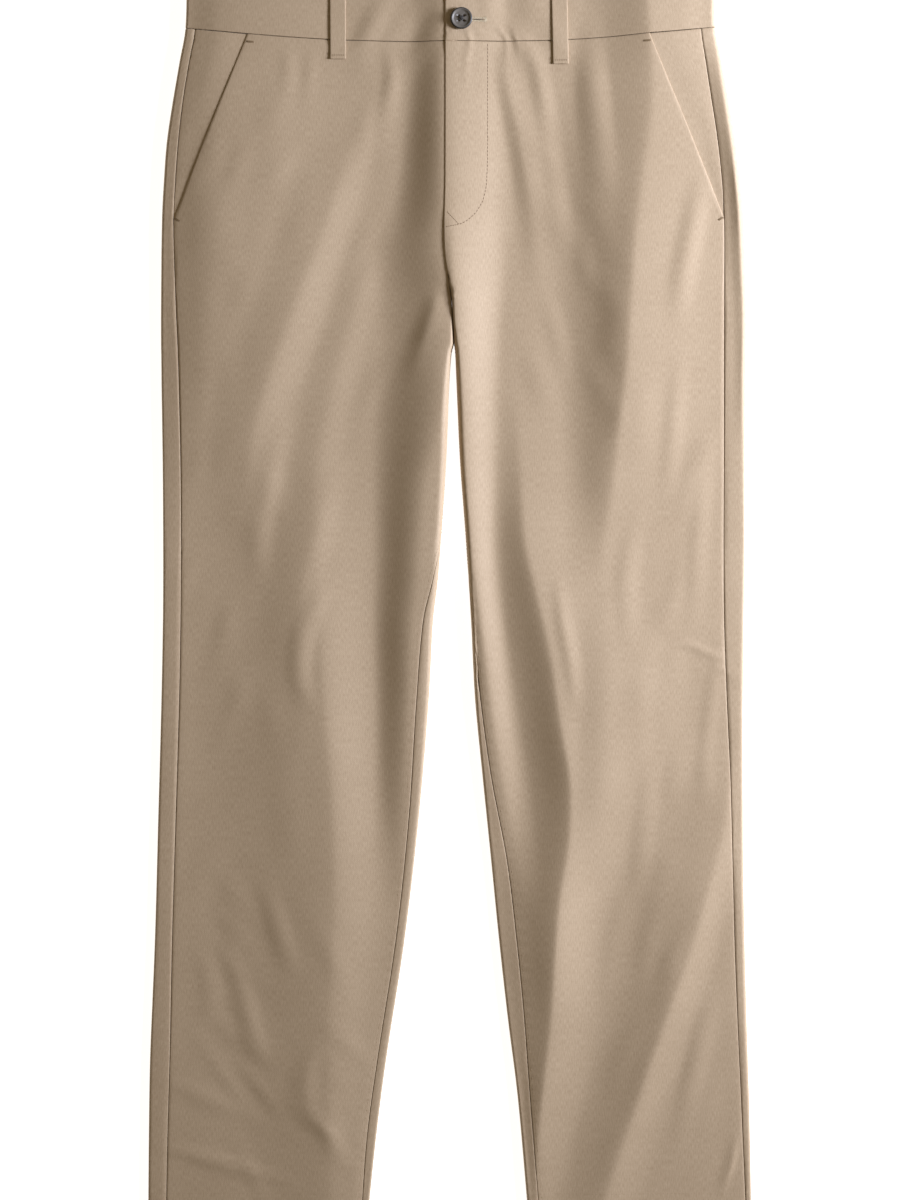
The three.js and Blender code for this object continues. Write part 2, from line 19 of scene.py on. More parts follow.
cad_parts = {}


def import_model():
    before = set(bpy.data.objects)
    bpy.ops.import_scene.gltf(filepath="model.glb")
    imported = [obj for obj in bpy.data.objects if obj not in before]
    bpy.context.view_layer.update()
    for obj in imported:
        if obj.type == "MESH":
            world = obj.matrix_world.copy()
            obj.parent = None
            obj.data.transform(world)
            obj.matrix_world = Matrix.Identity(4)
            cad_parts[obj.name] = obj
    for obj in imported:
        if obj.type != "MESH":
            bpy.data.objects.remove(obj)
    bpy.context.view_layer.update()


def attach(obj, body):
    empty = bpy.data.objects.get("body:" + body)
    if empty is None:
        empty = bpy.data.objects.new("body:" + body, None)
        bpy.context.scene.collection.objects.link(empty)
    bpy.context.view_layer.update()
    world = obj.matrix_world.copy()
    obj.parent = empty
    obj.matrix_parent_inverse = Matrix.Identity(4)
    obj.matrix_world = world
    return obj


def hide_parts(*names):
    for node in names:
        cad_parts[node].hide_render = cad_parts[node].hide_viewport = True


log = logging.getLogger("trousers")

MM = 0.001

# Levels up the garment. The seams turn in between the legs from the curl's top down.
HEM_Y = -540.0
CROTCH_Y = 255.0
CURL_TOP_Y = 274.0
FLY_END_Y = 278.0
RISE_FROM_Y = 330.0
WAIST_SEAM_Y = 475.0
BAND_HEIGHT = 41.0

# Where the fly button is sewn on.
BUTTON_X = 9.6
BUTTON_Y = 493.5

# The waist curves up towards the sides, and the back's waist lies higher still at its middle.
SIDE_LIFT = 12.0
BACK_LIFT = 12.0
HALF_HIP = 226.0

# How far the right side runs on beneath the left, at the fly and at the waistband.
OVERLAP = 9.0
BAND_OVERLAP = 28.0

# Heights: the back over its belt loops, the waistband over the fronts, and the lowest front.
BACK_REST = 1.7
BAND_PROUD = 0.4
LEAST_HEIGHT = 3.3

# The side fold: how far in it shapes the front, and its width as a share of its height.
OUTER_REACH = 26.0
EDGE_ROUNDNESS = 0.36

# The cloth's thickness, the gap at a seam, and the radius of a turned-in edge.
CLOTH = 0.5
SEAM_GAP = 0.3
TURN_RADIUS = 0.52


class Side(Enum):
    """A side of the wearer."""

    RIGHT = "right"
    LEFT = "left"

    @property
    def sign(self) -> int:
        """Direction of this side along X."""
        return -1 if self is Side.RIGHT else 1


def ease(t: np.ndarray | float) -> np.ndarray:
    """Go smoothly from 0 to 1 as t does, and stay there outside that range."""
    t = np.clip(t, 0.0, 1.0)
    return t * t * (3.0 - 2.0 * t)


def distances(points: np.ndarray) -> np.ndarray:
    """Distance along a line of points, at each of them."""
    return np.concatenate([[0.0], np.cumsum(np.linalg.norm(np.diff(points, axis=0), axis=1))])


def evened(values: np.ndarray, times: int) -> np.ndarray:
    """Even out a series of values or points between its ends, which stay where they are."""
    for _ in range(times):
        values[1:-1] = (values[:-2] + 2 * values[1:-1] + values[2:]) / 4
    return values


@dataclass(frozen=True)
class Profile:
    """Named sizes at several levels of the garment, joined by a smooth curve.

    Each row starts with its level y, and the rows go from the waist down.
    """

    columns: tuple[str, ...]
    rows: tuple[tuple[float, ...], ...]

    @cached_property
    def _curves(self) -> tuple[np.ndarray, np.ndarray, np.ndarray]:
        """Levels, values and slopes of every column."""
        table = np.array(self.rows, dtype=float)
        count = len(table)
        below = np.maximum(np.arange(count) - 1, 0)
        above = np.minimum(np.arange(count) + 1, count - 1)
        levels = table[:, 0]
        slopes = (table[above] - table[below]) / (levels[above] - levels[below])[:, None]
        return levels, table, slopes

    def all_at(self, y: np.ndarray | float) -> np.ndarray:
        """Read every size at a level.

        Args:
            y: Level or levels on the garment.

        Returns:
            The level itself and then each size, along the first axis.
        """
        levels, values, slopes = self._curves
        y = np.clip(np.asarray(y, dtype=float), levels[-1], levels[0])
        i = np.clip(np.searchsorted(-levels, -y, side="right") - 1, 0, len(levels) - 2)
        span = (levels[i + 1] - levels[i])[..., None]
        t = (y[..., None] - levels[i][..., None]) / span
        ends = (2 * t**3 - 3 * t**2 + 1) * values[i] + (3 * t**2 - 2 * t**3) * values[i + 1]
        bend = (t**3 - 2 * t**2 + t) * slopes[i] + (t**3 - t**2) * slopes[i + 1]
        return np.moveaxis(ends + span * bend, -1, 0)

    def at(self, column: str, y: np.ndarray | float) -> np.ndarray:
        """Read one size at a level, or at each of several."""
        return self.all_at(y)[self.columns.index(column) + 1]


@dataclass(frozen=True)
class Ridge:
    """A soft ridge in the cloth, which wanders as it runs down the garment.

    Each row gives, at a level y: the crest's place x, how far the ridge reaches to -X and to +X,
    its height, and how much of that height is lost again on the +X side, which is all of it where
    the row says nothing more. sharp is 2 for a round crest and nearer 1 for a narrow one.
    """

    rows: tuple[tuple[float, ...], ...]
    sharp: float = 1.6

    @cached_property
    def _sizes(self) -> Profile:
        """The rows as a smooth table."""
        rows = tuple(row if len(row) == 6 else (*row, row[4]) for row in self.rows)
        return Profile(("x", "minus", "plus", "high", "drop"), rows)

    def height(self, x: np.ndarray, y: np.ndarray) -> np.ndarray:
        """Height that the ridge adds at each point."""
        top, bottom = self.rows[0], self.rows[-1]
        if (y.min() > top[0] and not top[4]) or (y.max() < bottom[0] and not bottom[4]):
            return np.zeros_like(x)
        _, crest, minus, plus, high, drop = self._sizes.all_at(y)
        from_crest = x - crest
        rise = np.clip(-from_crest / minus, 0, 1)
        fall = np.clip(from_crest / plus, 0, 1)
        uphill = high * (1 - rise**self.sharp) ** 2
        downhill = high - drop * (1 - (1 - fall**self.sharp) ** 2)
        return np.where(from_crest < 0, uphill, downhill)


def small_wrinkles(
    zone: tuple[float, float, float, float], count: int, lean: float, high: float, seed: int
) -> tuple[Ridge, ...]:
    """Scatter short soft wrinkles over a part of the garment.

    Args:
        zone: Its left, bottom, right and top.
        count: Number of wrinkles.
        lean: How far a wrinkle moves along X for each millimetre that it climbs.
        high: Height of the highest of them.
        seed: Start of the series of chance numbers.

    Returns:
        The wrinkles.
    """
    chance = np.random.default_rng(seed)
    left, bottom, right, top = zone
    made = []
    for _ in range(count):
        x, y = float(chance.uniform(left, right)), float(chance.uniform(bottom, top))
        reach, half = float(chance.uniform(11, 22)), float(chance.uniform(22, 52))
        shift = half * (lean + float(chance.uniform(-0.25, 0.25)))
        peak = high * float(chance.uniform(0.45, 1))
        bow = float(chance.uniform(-4, 4))
        places = ((y + half, x + shift, 0), (y, x + bow, peak), (y - half, x - shift, 0))
        made.append(Ridge(tuple((level, at, reach, reach, rise) for level, at, rise in places), 1.8))
    return tuple(made)


@dataclass(frozen=True)
class Raise:
    """How far a layer of the left front lies above the right front, near the fly."""

    step: float
    hold: float
    fall: float


FLY_RAISE = Raise(0.72, 30, 20)
BAND_RAISE = Raise(1.2, 31, 22)

# How far from the inner fold the ridges of a leg reach their full height.
FOLD_FADE = {Side.RIGHT: 14.0, Side.LEFT: 1.0}

# Distances from the centreline at each level: the outer fold, the side seam, the inner fold, and
# how far in from the inner fold the inseam lies, below 0 where it is on the underside.
OUTLINE = {
    Side.RIGHT: Profile(
        ("outer", "seam", "inner", "inseam"),
        (
            (540, 224.4, 217, 0, 0),
            (487, 225.5, 217, 0, 0),
            (459, 230.4, 222, 0, 0),
            (425, 236.3, 227.4, 0, 0),
            (391, 241.4, 231.3, 0, 0),
            (357, 244, 233.8, 0, 0),
            (323, 245.7, 235.5, 0, 0),
            (255, 246.5, 233.6, -1.45, 0),
            (218, 246.5, 232, -3.4, -0.7),
            (212, 246.4, 231.8, -1.6, -0.8),
            (202, 246.3, 231.4, -0.6, -1),
            (187, 246.2, 231, 0.4, -1.2),
            (119, 245.2, 229.6, 3.2, -1.2),
            (51, 244.8, 229.2, 7.6, 0),
            (17, 244.8, 229.3, 10.2, 4.5),
            (-17, 245, 229.6, 14.2, 8.5),
            (-85, 246.3, 230.8, 17.9, 10.6),
            (-187, 249, 233.8, 26.6, 8.6),
            (-289, 251.8, 236.8, 38.5, 7.6),
            (-391, 255.9, 238.9, 54.2, 7.5),
            (-459, 257, 240.8, 63, 7.8),
            (-540, 257.6, 242.3, 71.4, 5),
        ),
    ),
    Side.LEFT: Profile(
        ("outer", "seam", "inner", "inseam"),
        (
            (540, 225.8, 213, 0, 0),
            (487, 226, 213.4, 0, 0),
            (459, 231.2, 217.2, 0, 0),
            (425, 237.2, 222.2, 0, 0),
            (391, 243.1, 227.2, 0, 0),
            (357, 247.4, 230.8, 0, 0),
            (323, 250.2, 232.8, 0, 0),
            (255, 252.5, 233, 1.6, 0),
            (218, 252.4, 233, 3.46, -0.7),
            (212, 252.3, 233, 4.3, -0.8),
            (187, 251.8, 233.1, 5.4, -1.2),
            (119, 251.6, 233.4, 8.5, -1.2),
            (51, 251.6, 233.3, 13.6, -0.8),
            (-17, 250.8, 233.6, 17.9, 1.5),
            (-85, 250, 236, 21.4, 4.6),
            (-153, 249.9, 239, 28, 7.5),
            (-221, 250.2, 240.8, 34.9, 13.5),
            (-289, 251.3, 242.3, 41.7, 15),
            (-357, 253, 244.8, 49.3, 14),
            (-425, 255.2, 248, 57.8, 10.5),
            (-540, 257.6, 253.2, 68, 9.5),
        ),
    ),
}

# The centre front: the fly's edge, then the seam that turns in between the legs.
CENTRE_FRONT = Profile(
    ("x",),
    ((540, -4.2), (357, -4.4), (323, -5.2), (300, -5), (285, -3.4), (270, -0.4), (255, 1.52)),
)

# Height of the outer fold and of the cloth between the folds. Then, for each leg: the height of
# its inner fold, how far in from that fold the slope down to the middle starts, and its width.
HEIGHTS = Profile(
    (
        "outer", "middle",
        "right_inner", "right_from", "right_over",
        "left_inner", "left_from", "left_over",
    ),
    (
        (540, 8, 9, 11.5, 1, 26, 11.5, 3, 60),
        (490, 8, 9, 11.5, 1, 28, 11.5, 3, 60),
        (400, 7, 7, 11.8, 0, 36, 11.8, 3, 60),
        (340, 6.4, 6, 12, 0, 46, 12, 3, 56),
        (300, 6, 5.6, 13, 2, 58, 13, 3, 54),
        (255, 5.8, 5.2, 14.6, -6, 70, 13.8, 2, 44),
        (205, 5.6, 5, 16, -1, 64, 11.8, 2, 38),
        (155, 5.5, 4.8, 16.8, 3, 62, 9.6, 3, 34),
        (100, 5.1, 4.6, 14.3, 14, 48, 8.4, 3, 30),
        (0, 4.8, 4.5, 12.4, 16, 38, 7.2, 3, 28),
        (-50, 4.8, 4.5, 11.4, 16, 34, 6.6, 3, 28),
        (-100, 4.7, 4.5, 10.2, 15, 31, 6.2, 3, 28),
        (-155, 4.7, 4.5, 8.4, 13, 29, 5.6, 3, 28),
        (-205, 4.7, 4.5, 6.6, 10, 28, 5, 3, 28),
        (-260, 4.7, 4.5, 5.2, 6, 28, 4.8, 3, 28),
        (-540, 4.7, 4.5, 4.7, 3, 26, 4.8, 3, 24),
    ),
)

# The swell of the fly, which both fronts share.
FLY_SWELL = Ridge((
    (520, -5, 30, 60, 1.5), (475, -5, 33, 66, 3), (400, -5, 38, 72, 4), (320, -5, 42, 72, 3.5),
    (235, -3, 46, 60, 0),
), 1.5)

RIDGES = {
    Side.RIGHT: (
        FLY_SWELL,
        # Swell of the hip
        Ridge((
            (530, -178, 52, 96, 1.6), (475, -182, 54, 102, 2.6), (405, -190, 58, 128, 5),
            (305, -197, 56, 136, 6), (205, -203, 46, 128, 4.6), (110, -212, 34, 110, 1.5),
            (50, -212, 34, 102, 0),
        ), 2.0),
        # Long diagonal that falls away from the fly
        Ridge((
            (435, -66, 30, 19, 0), (375, -88, 40, 26, 1.6), (305, -112, 46, 32, 2.6),
            (255, -131, 46, 34, 3), (155, -165, 44, 32, 2.8), (100, -172, 40, 28, 1.8),
            (45, -176, 34, 24, 0),
        ), 1.5),
        # Second diagonal, nearer the fly
        Ridge((
            (330, -62, 22, 20, 0), (260, -78, 24, 22, 1.0), (190, -98, 26, 24, 1.3),
            (120, -112, 24, 22, 0.9), (60, -120, 20, 20, 0),
        ), 1.7),
        # Short streak above the knee
        Ridge((
            (130, -92, 36, 17, 0), (70, -112, 40, 22, 1.3), (15, -126, 38, 22, 1.6),
            (-35, -132, 34, 20, 1.1), (-85, -130, 30, 15, 0),
        )),
        # The shin
        Ridge((
            (155, -113, 60, 47, 0), (100, -115, 80, 53, 1.8), (0, -112, 100, 51, 5),
            (-100, -107, 112, 49, 7), (-155, -102, 112, 48, 7.2), (-255, -99, 112, 54, 6.6),
            (-340, -103, 92, 53, 5.1), (-425, -104, 78, 50, 4), (-540, -101, 66, 46, 2.8),
        ), 1.5),
        # Small wrinkles above the hem
        Ridge(((-235, -158, 14, 13, 0), (-280, -146, 14, 13, 0.8), (-325, -132, 14, 13, 0)), 2.0),
        Ridge(((-335, -180, 15, 13, 0), (-370, -169, 15, 13, 0.8), (-400, -158, 15, 13, 0)), 2.0),
        Ridge((
            (-375, -112, 16, 12, 0), (-405, -122, 20, 14, 0.9), (-440, -118, 22, 16, 0.8),
            (-462, -96, 18, 12, 0),
        ), 1.5),
        Ridge(((-405, -236, 26, 26, 0), (-425, -208, 26, 26, 0.6), (-445, -176, 26, 26, 0)), 2.0),
        Ridge(((-462, -240, 34, 34, 0), (-478, -200, 34, 34, 0.8), (-500, -140, 34, 34, 0)), 2.0),
        Ridge(((-290, -214, 12, 14, 0), (-330, -205, 12, 14, 0.5), (-370, -208, 12, 14, 0)), 2.0),
        # Puckers below the waistband
        Ridge((
            (472, -53, 8, 9, 0), (445, -50, 9, 10, 0.9), (405, -56, 10, 12, 0.5), (370, -62, 10, 12, 0),
        ), 2.0),
        Ridge(((472, -140, 9, 10, 0), (455, -138, 9, 10, 0.5), (420, -141, 9, 10, 0)), 2.0),
        Ridge(((472, -118, 8, 9, 0), (450, -119, 8, 9, 0.4), (415, -123, 8, 9, 0)), 2.0),
        # The crease where the thigh meets the fly
        Ridge((
            (262, -12, 14, 10, 0), (250, -14, 14, 12, 1.1, 0.8), (228, -20, 16, 16, 1.7, 1),
            (205, -27, 18, 18, 0.9, 0.5), (180, -34, 20, 20, 0),
        ), 1.3),
        # The hook of two short folds above the knee
        Ridge((
            (165, -140, 16, 14, 0), (110, -152, 18, 14, 1.1), (60, -162, 16, 14, 0.8),
            (10, -162, 14, 12, 0),
        ), 1.8),
        Ridge((
            (25, -100, 14, 14, 0), (-25, -122, 16, 14, 1.1), (-65, -127, 15, 12, 0.8),
            (-100, -116, 13, 12, 0),
        ), 1.8),
        *small_wrinkles((-195, -500, -85, -240), 18, -0.5, 0.5, 11),
        *small_wrinkles((-220, 40, -150, 400), 14, 0.1, 0.45, 12),
        *small_wrinkles((-150, 150, -60, 440), 12, 0.3, 0.4, 13),
        *small_wrinkles((-230, -240, -120, 40), 14, 0.15, 0.35, 14),
        *small_wrinkles((-80, 470, -14, 505), 5, 0.5, 0.7, 32),
    ),
    Side.LEFT: (
        FLY_SWELL,
        # Along the inner thigh
        Ridge((
            (335, 1, 14, 44, 0), (285, 2, 12, 46, 1.9), (205, 5, 8, 38, 3.2), (130, 10, 8, 30, 3.3),
            (45, 18, 10, 22, 3.4), (-40, 29, 17, 22, 3.4), (-125, 40, 20, 24, 2.6),
            (-210, 54, 24, 22, 1.4), (-270, 62, 26, 18, 0),
        ), 1.6),
        # The long fold from the thigh down the calf, higher on its outer side
        Ridge((
            (180, 56, 15, 51, 0), (110, 60, 22, 76, 2), (50, 64, 32, 102, 5.4, 4.8),
            (0, 75, 42, 110, 7.6, 6), (-50, 86, 45, 116, 8.6, 6.6), (-105, 94, 45, 100, 9.2, 7.8),
            (-155, 102, 48, 80, 9.8, 8.8), (-205, 101, 54, 60, 10, 9.8), (-255, 93, 56, 50, 10.2, 10),
            (-305, 89, 50, 43, 9.4, 9.2), (-355, 86, 40, 44, 7, 6.6), (-410, 80, 28, 40, 5.4),
            (-460, 75, 20, 34, 3.4), (-540, 73, 17, 31, 1),
        ), 1.3),
        # The broad swell beside the knee
        Ridge((
            (20, 140, 30, 70, 0), (-50, 138, 30, 70, 1.8), (-120, 136, 30, 76, 2.6),
            (-190, 134, 30, 70, 1.6), (-240, 132, 30, 66, 0),
        ), 2.0),
        # The fold that runs in from the outer edge across the calf
        Ridge((
            (-120, 243, 51, 17, 0), (-170, 236, 68, 20, 2.4, 1.6), (-205, 230, 72, 24, 4, 2.4),
            (-255, 217, 72, 26, 6.4, 3.2), (-305, 202, 62, 27, 7.2, 3.8), (-355, 184, 54, 29, 7.6, 4),
            (-410, 165, 50, 31, 6.8, 4.2), (-460, 148, 48, 34, 5.6, 4.2), (-540, 121, 45, 38, 4),
        ), 1.35),
        # The flank of the hip
        Ridge((
            (540, 165, 56, 70, 7, 3), (495, 169, 60, 70, 8, 3), (435, 172, 80, 72, 9.2, 2.7),
            (405, 170, 90, 74, 10.8, 2.9), (355, 163, 88, 80, 12.2, 3.3), (305, 157, 78, 86, 12.8, 3.8),
            (255, 154, 66, 88, 12.5, 4.4), (205, 151, 59, 89, 11.2, 5), (155, 145, 51, 92, 8.6, 4.8),
            (100, 139, 44, 92, 5.6, 3.8), (50, 131, 36, 88, 2.6, 2.4), (0, 128, 34, 85, 0),
        ), 1.32),
        # Creases of the outer strip and the hem
        Ridge(((-56, 226, 8, 8, 0), (-62, 238, 9, 9, 0.8), (-70, 250, 9, 9, 0)), 1.5),
        Ridge(((-450, 246, 8, 6, 0), (-480, 240, 10, 5, 1.2), (-510, 230, 10, 6, 0)), 1.4),
        # Wrinkles between hip and knee
        Ridge(((220, 196, 10, 12, 0), (150, 190, 10, 12, 0.7), (60, 182, 10, 12, 0)), 2.0),
        Ridge(((140, 222, 9, 11, 0), (60, 212, 10, 12, 0.6), (-30, 206, 9, 11, 0)), 2.0),
        Ridge(((80, 160, 10, 12, 0), (20, 150, 12, 14, 0.8), (-50, 152, 10, 12, 0)), 2.0),
        Ridge((
            (25, 91, 8, 10, 0), (-15, 95, 9, 12, 1.0), (-60, 103, 9, 12, 0.8), (-100, 108, 8, 10, 0),
        ), 1.6),
        Ridge(((-32, 196, 16, 12, 0), (-43, 215, 16, 13, 0.7), (-54, 236, 14, 12, 0)), 1.6),
        Ridge(((-20, 232, 8, 9, 0), (-90, 222, 9, 10, 0.6), (-160, 214, 8, 9, 0)), 2.0),
        Ridge(((-110, 176, 10, 12, 0), (-190, 165, 12, 14, 0.7), (-260, 158, 10, 12, 0)), 2.0),
        Ridge(((-330, 222, 10, 12, 0), (-400, 208, 12, 14, 0.8), (-480, 190, 10, 12, 0)), 2.0),
        # Below the waistband
        Ridge((
            (472, 70, 9, 10, 0), (440, 76, 10, 12, 0.8), (380, 86, 12, 14, 0.8), (300, 96, 12, 14, 0),
        ), 1.8),
        # The roll of the side beside the pocket
        Ridge((
            (475, 223, 9, 12, 0), (440, 230.5, 11, 12, 1.6, 1), (400, 237.5, 12, 12, 2.4, 1.4),
            (340, 246, 13, 12, 3, 1.6), (290, 248, 12, 10, 2, 1.2), (240, 250, 9, 8, 1.3, 1),
            (180, 250.5, 8, 8, 1.1, 1), (130, 250, 8, 8, 0),
        ), 1.8),
        *small_wrinkles((130, -160, 225, 240), 30, 0.14, 0.4, 21),
        *small_wrinkles((60, 170, 140, 440), 12, -0.2, 0.5, 22),
        *small_wrinkles((120, -520, 225, -180), 16, 0.35, 0.5, 23),
        *small_wrinkles((22, 470, 110, 505), 7, -0.35, 0.7, 31),
        # Puckers that run from the button across the waist seam
        Ridge(((490, -2, 3, 4, 0), (485.5, 0.5, 3, 4, 0.35), (480, 4, 3, 4, 0)), 1.8),
        Ridge((
            (488, 11.5, 3.5, 4, 0), (482, 15, 3.5, 4, 0.5), (474, 17, 3.5, 4, 0.5),
            (460, 14, 4, 5, 0.4), (425, 12, 4, 6, 0),
        ), 1.8),
        Ridge(((488, 20, 3, 4, 0), (484, 24, 3, 4, 0.4), (478.5, 28, 3, 4, 0)), 1.8),
        Ridge((
            (492, 37, 3.5, 4.5, 0), (485, 42, 3.5, 4.5, 0.6), (478, 47, 3.5, 4.5, 0.6),
            (466, 48, 3.5, 4.5, 0.4), (450, 47, 4, 5, 0),
        ), 1.8),
        Ridge((
            (487, 51, 3, 4, 0), (481, 54, 3, 4, 0.45), (474, 57, 3, 4, 0.45), (462, 58, 3, 4, 0),
        ), 1.8),
        # The narrow pleat beside the fly's stitching
        Ridge((
            (472, 45, 10, 22, 0), (440, 49, 12, 24, 1.5), (400, 58, 14, 29, 2.2), (355, 66, 15, 34, 2),
            (305, 73, 17, 37, 1), (255, 76, 17, 39, 0),
        )),
        # A pucker below the waistband
        Ridge((
            (505, 118, 14, 15, 0), (476, 119, 14, 15, 0.6), (440, 121, 17, 17, 1.8),
            (405, 124, 19, 17, 1.6), (370, 127, 19, 17, 0.9), (320, 130, 17, 17, 0),
        ), 2.0),
        # A streak below the pocket's mouth
        Ridge((
            (365, 214, 12, 14, 0), (325, 207, 14, 15, 1.3), (280, 198, 14, 15, 1.3),
            (230, 192, 14, 15, 0),
        ), 1.8),
    ),
}


@dataclass(frozen=True)
class LaidForm:
    """The shape in which the trousers lie: every piece takes its place from here."""

    def rise(self, y: np.ndarray | float) -> np.ndarray:
        """Share of the waist's curve that a level has taken up."""
        return ease((np.asarray(y, dtype=float) - RISE_FROM_Y) / (WAIST_SEAM_Y - RISE_FROM_Y))

    def side_level(self, y: float) -> float:
        """Level at which a row that starts at y on the centreline reaches the garment's side."""
        return y + SIDE_LIFT * float(self.rise(y))

    def front_lift(self, d: np.ndarray, y: np.ndarray | float) -> np.ndarray:
        """How far a level of the front curves up at a distance from the centre."""
        share = np.minimum(np.abs(d), HALF_HIP) / HALF_HIP
        return SIDE_LIFT * share**2.2 * self.rise(y)

    def back_lift(self, d: np.ndarray, y: np.ndarray | float) -> np.ndarray:
        """How far a level of the back curves up at a distance from the centre."""
        share = np.minimum(np.abs(d), HALF_HIP) / HALF_HIP
        return (SIDE_LIFT + BACK_LIFT * (1 - share**2)) * self.rise(y)

    def floor_height(self, y: float) -> float:
        """Height of the back's outer face, which rests on the back belt loops at the waist."""
        return float(BACK_REST * ease((y - 395) / 55))

    def centre_back(self, y: float) -> float:
        """Place of the centre back seam across the garment."""
        share = float(np.clip((y - CROTCH_Y) / (CURL_TOP_Y - CROTCH_Y), 0, 1))
        return float(1.55 * (1 - ease(share)) + 0.9 * math.sin(math.pi * share))

    def front_height(self, side: Side, x: np.ndarray, y: np.ndarray) -> np.ndarray:
        """Height of the front's outer face before the folded edges round it off.

        Args:
            side: The leg whose cloth it is.
            x: Places across the garment.
            y: Places up the garment.

        Returns:
            The height at each place.
        """
        x, y = np.broadcast_arrays(np.asarray(x, dtype=float), np.asarray(y, dtype=float))
        d = side.sign * x
        above = CENTRE_FRONT.at("x", y) * side.sign
        inner = np.where(y > CROTCH_Y, above, OUTLINE[side].at("inner", y))
        from_outer = OUTLINE[side].at("outer", y) - d
        from_inner = d - inner
        middle = HEIGHTS.at("middle", y)
        curl = ease((CURL_TOP_Y - y) / (CURL_TOP_Y - CROTCH_Y))
        clear = 1 - (1 - ease(from_inner / FOLD_FADE[side])) * curl
        folds = sum(ridge.height(x, y) for ridge in RIDGES[side])
        inner_high, start, over = (
            HEIGHTS.at(f"{side.value}_{name}", y) for name in ("inner", "from", "over")
        )
        # The inseam's stitches draw the cloth into fine ripples.
        beside = np.exp(-(((from_inner - OUTLINE[side].at("inseam", y) - 3.5) / 3.2) ** 2))
        ripples = 0.16 * beside * np.sin(y / 1.55 + 2.2 * np.sin(y / 31)) * (1 - ease((y - 150) / 80))
        height = (
            middle
            + (HEIGHTS.at("outer", y) - middle) * (1 - ease((from_outer - 3) / OUTER_REACH))
            + (inner_high - middle) * (1 - ease((from_inner - start) / over))
            + folds * clear
            + ripples
        )
        return np.maximum(height, LEAST_HEIGHT + 0.15 * (height - LEAST_HEIGHT))

    def layer_height(self, side: Side, x: np.ndarray, y: np.ndarray) -> np.ndarray:
        """Height that a side's front follows, also where it runs on beneath the other side."""
        own = self.front_height(side, x, y)
        other = self.front_height(Side.LEFT, x, y)
        return np.where((y > FLY_END_Y) & (x > CENTRE_FRONT.at("x", y)), other, own)

    def fly_raise(self, side: Side, x: np.ndarray, y: np.ndarray | float, lift: Raise) -> np.ndarray:
        """How far a layer is raised by what lies beneath it at the fly."""
        past = np.asarray(x, dtype=float) - CENTRE_FRONT.at("x", y)
        height = lift.step * (1 - ease((past - lift.hold) / lift.fall)) * ease((y - CROTCH_Y - 8) / 60)
        return height * (side is Side.LEFT)

    def panel_raise(self, side: Side, x: np.ndarray, y: np.ndarray) -> np.ndarray:
        """How far the front panel is raised at the fly, with the waistband's step at its top."""
        share = ease((np.asarray(y, dtype=float) - 460) / 14)
        low, high = (self.fly_raise(side, x, y, lift) for lift in (FLY_RAISE, BAND_RAISE))
        return low + (high - low) * share

    def front_top(self, side: Side, x: np.ndarray, y: np.ndarray) -> np.ndarray:
        """Outer height of a front panel, for what is sewn or laid on it."""
        return self.layer_height(side, x, y) + self.panel_raise(side, x, y)

    def band_top(self, side: Side, x: np.ndarray, y: np.ndarray) -> np.ndarray:
        """Outer height of the waistband's front."""
        return self.layer_height(side, x, y) + BAND_PROUD + self.fly_raise(side, x, y, BAND_RAISE)

    def upper(
        self,
        side: Side,
        d: np.ndarray,
        y: float,
        face: Callable[..., np.ndarray],
        tuck: np.ndarray | float = 0.0,
    ) -> np.ndarray:
        """Points of a row on the garment's upper side.

        Args:
            side: The side of the wearer.
            d: Distances from the centre.
            y: The row's level on the centreline.
            face: One of the heights above, which the row follows.
            tuck: How far the row lies below that height.

        Returns:
            The points.
        """
        x, level = side.sign * d, y + self.front_lift(d, y)
        return np.stack([x, level, face(side, x, level) - tuck], axis=1)

    def under(self, side: Side, d: np.ndarray, y: float, height: np.ndarray) -> np.ndarray:
        """Points of a row on the garment's underside, at distances from the centre."""
        return np.stack([side.sign * d, y + self.back_lift(d, y), height], axis=1)


FORM = LaidForm()


@dataclass(frozen=True)
class InnerEdge:
    """The inner fold of a leg at one level."""

    reach: float
    high: float
    width: float
    angle: float
    strip: float

    @classmethod
    def at(cls, side: Side, y: float, is_back: bool) -> "InnerEdge":
        """Work out the fold at a level.

        Args:
            side: The leg.
            y: The level.
            is_back: Whether the back panel asks, which above the crotch ends at the centre back.

        Returns:
            The fold's reach, height and width, and the angle or strip at which its seam lies.
        """
        joined = y > CROTCH_Y
        line = FORM.centre_back(y) if is_back else float(CENTRE_FRONT.at("x", y))
        inner = side.sign * line if joined else float(OUTLINE[side].at("inner", y))
        near = side.sign * (inner + 5)
        high = float(FORM.front_height(side, near, y) + FORM.fly_raise(side, near, y, FLY_RAISE))
        tight = 0.5 * float(ease((y - 150) / 90)) + 0.3 * float(ease((y - 215) / 30))
        width = EDGE_ROUNDNESS * high * (1 - tight)
        if joined:
            turn = 90 * float(ease((y - CROTCH_Y) / (CURL_TOP_Y - CROTCH_Y)))
            reach = inner - width * (1 - math.cos(math.radians(turn)))
            return cls(reach, high, width, -turn if is_back else turn, 0.0)
        inseam = float(OUTLINE[side].at("inseam", y))
        angle = math.degrees(math.acos(min(max(1 - abs(inseam) / width, 0.0), 1.0)))
        return cls(inner, high, width, math.copysign(angle, inseam), max(inseam - width, 0.0))


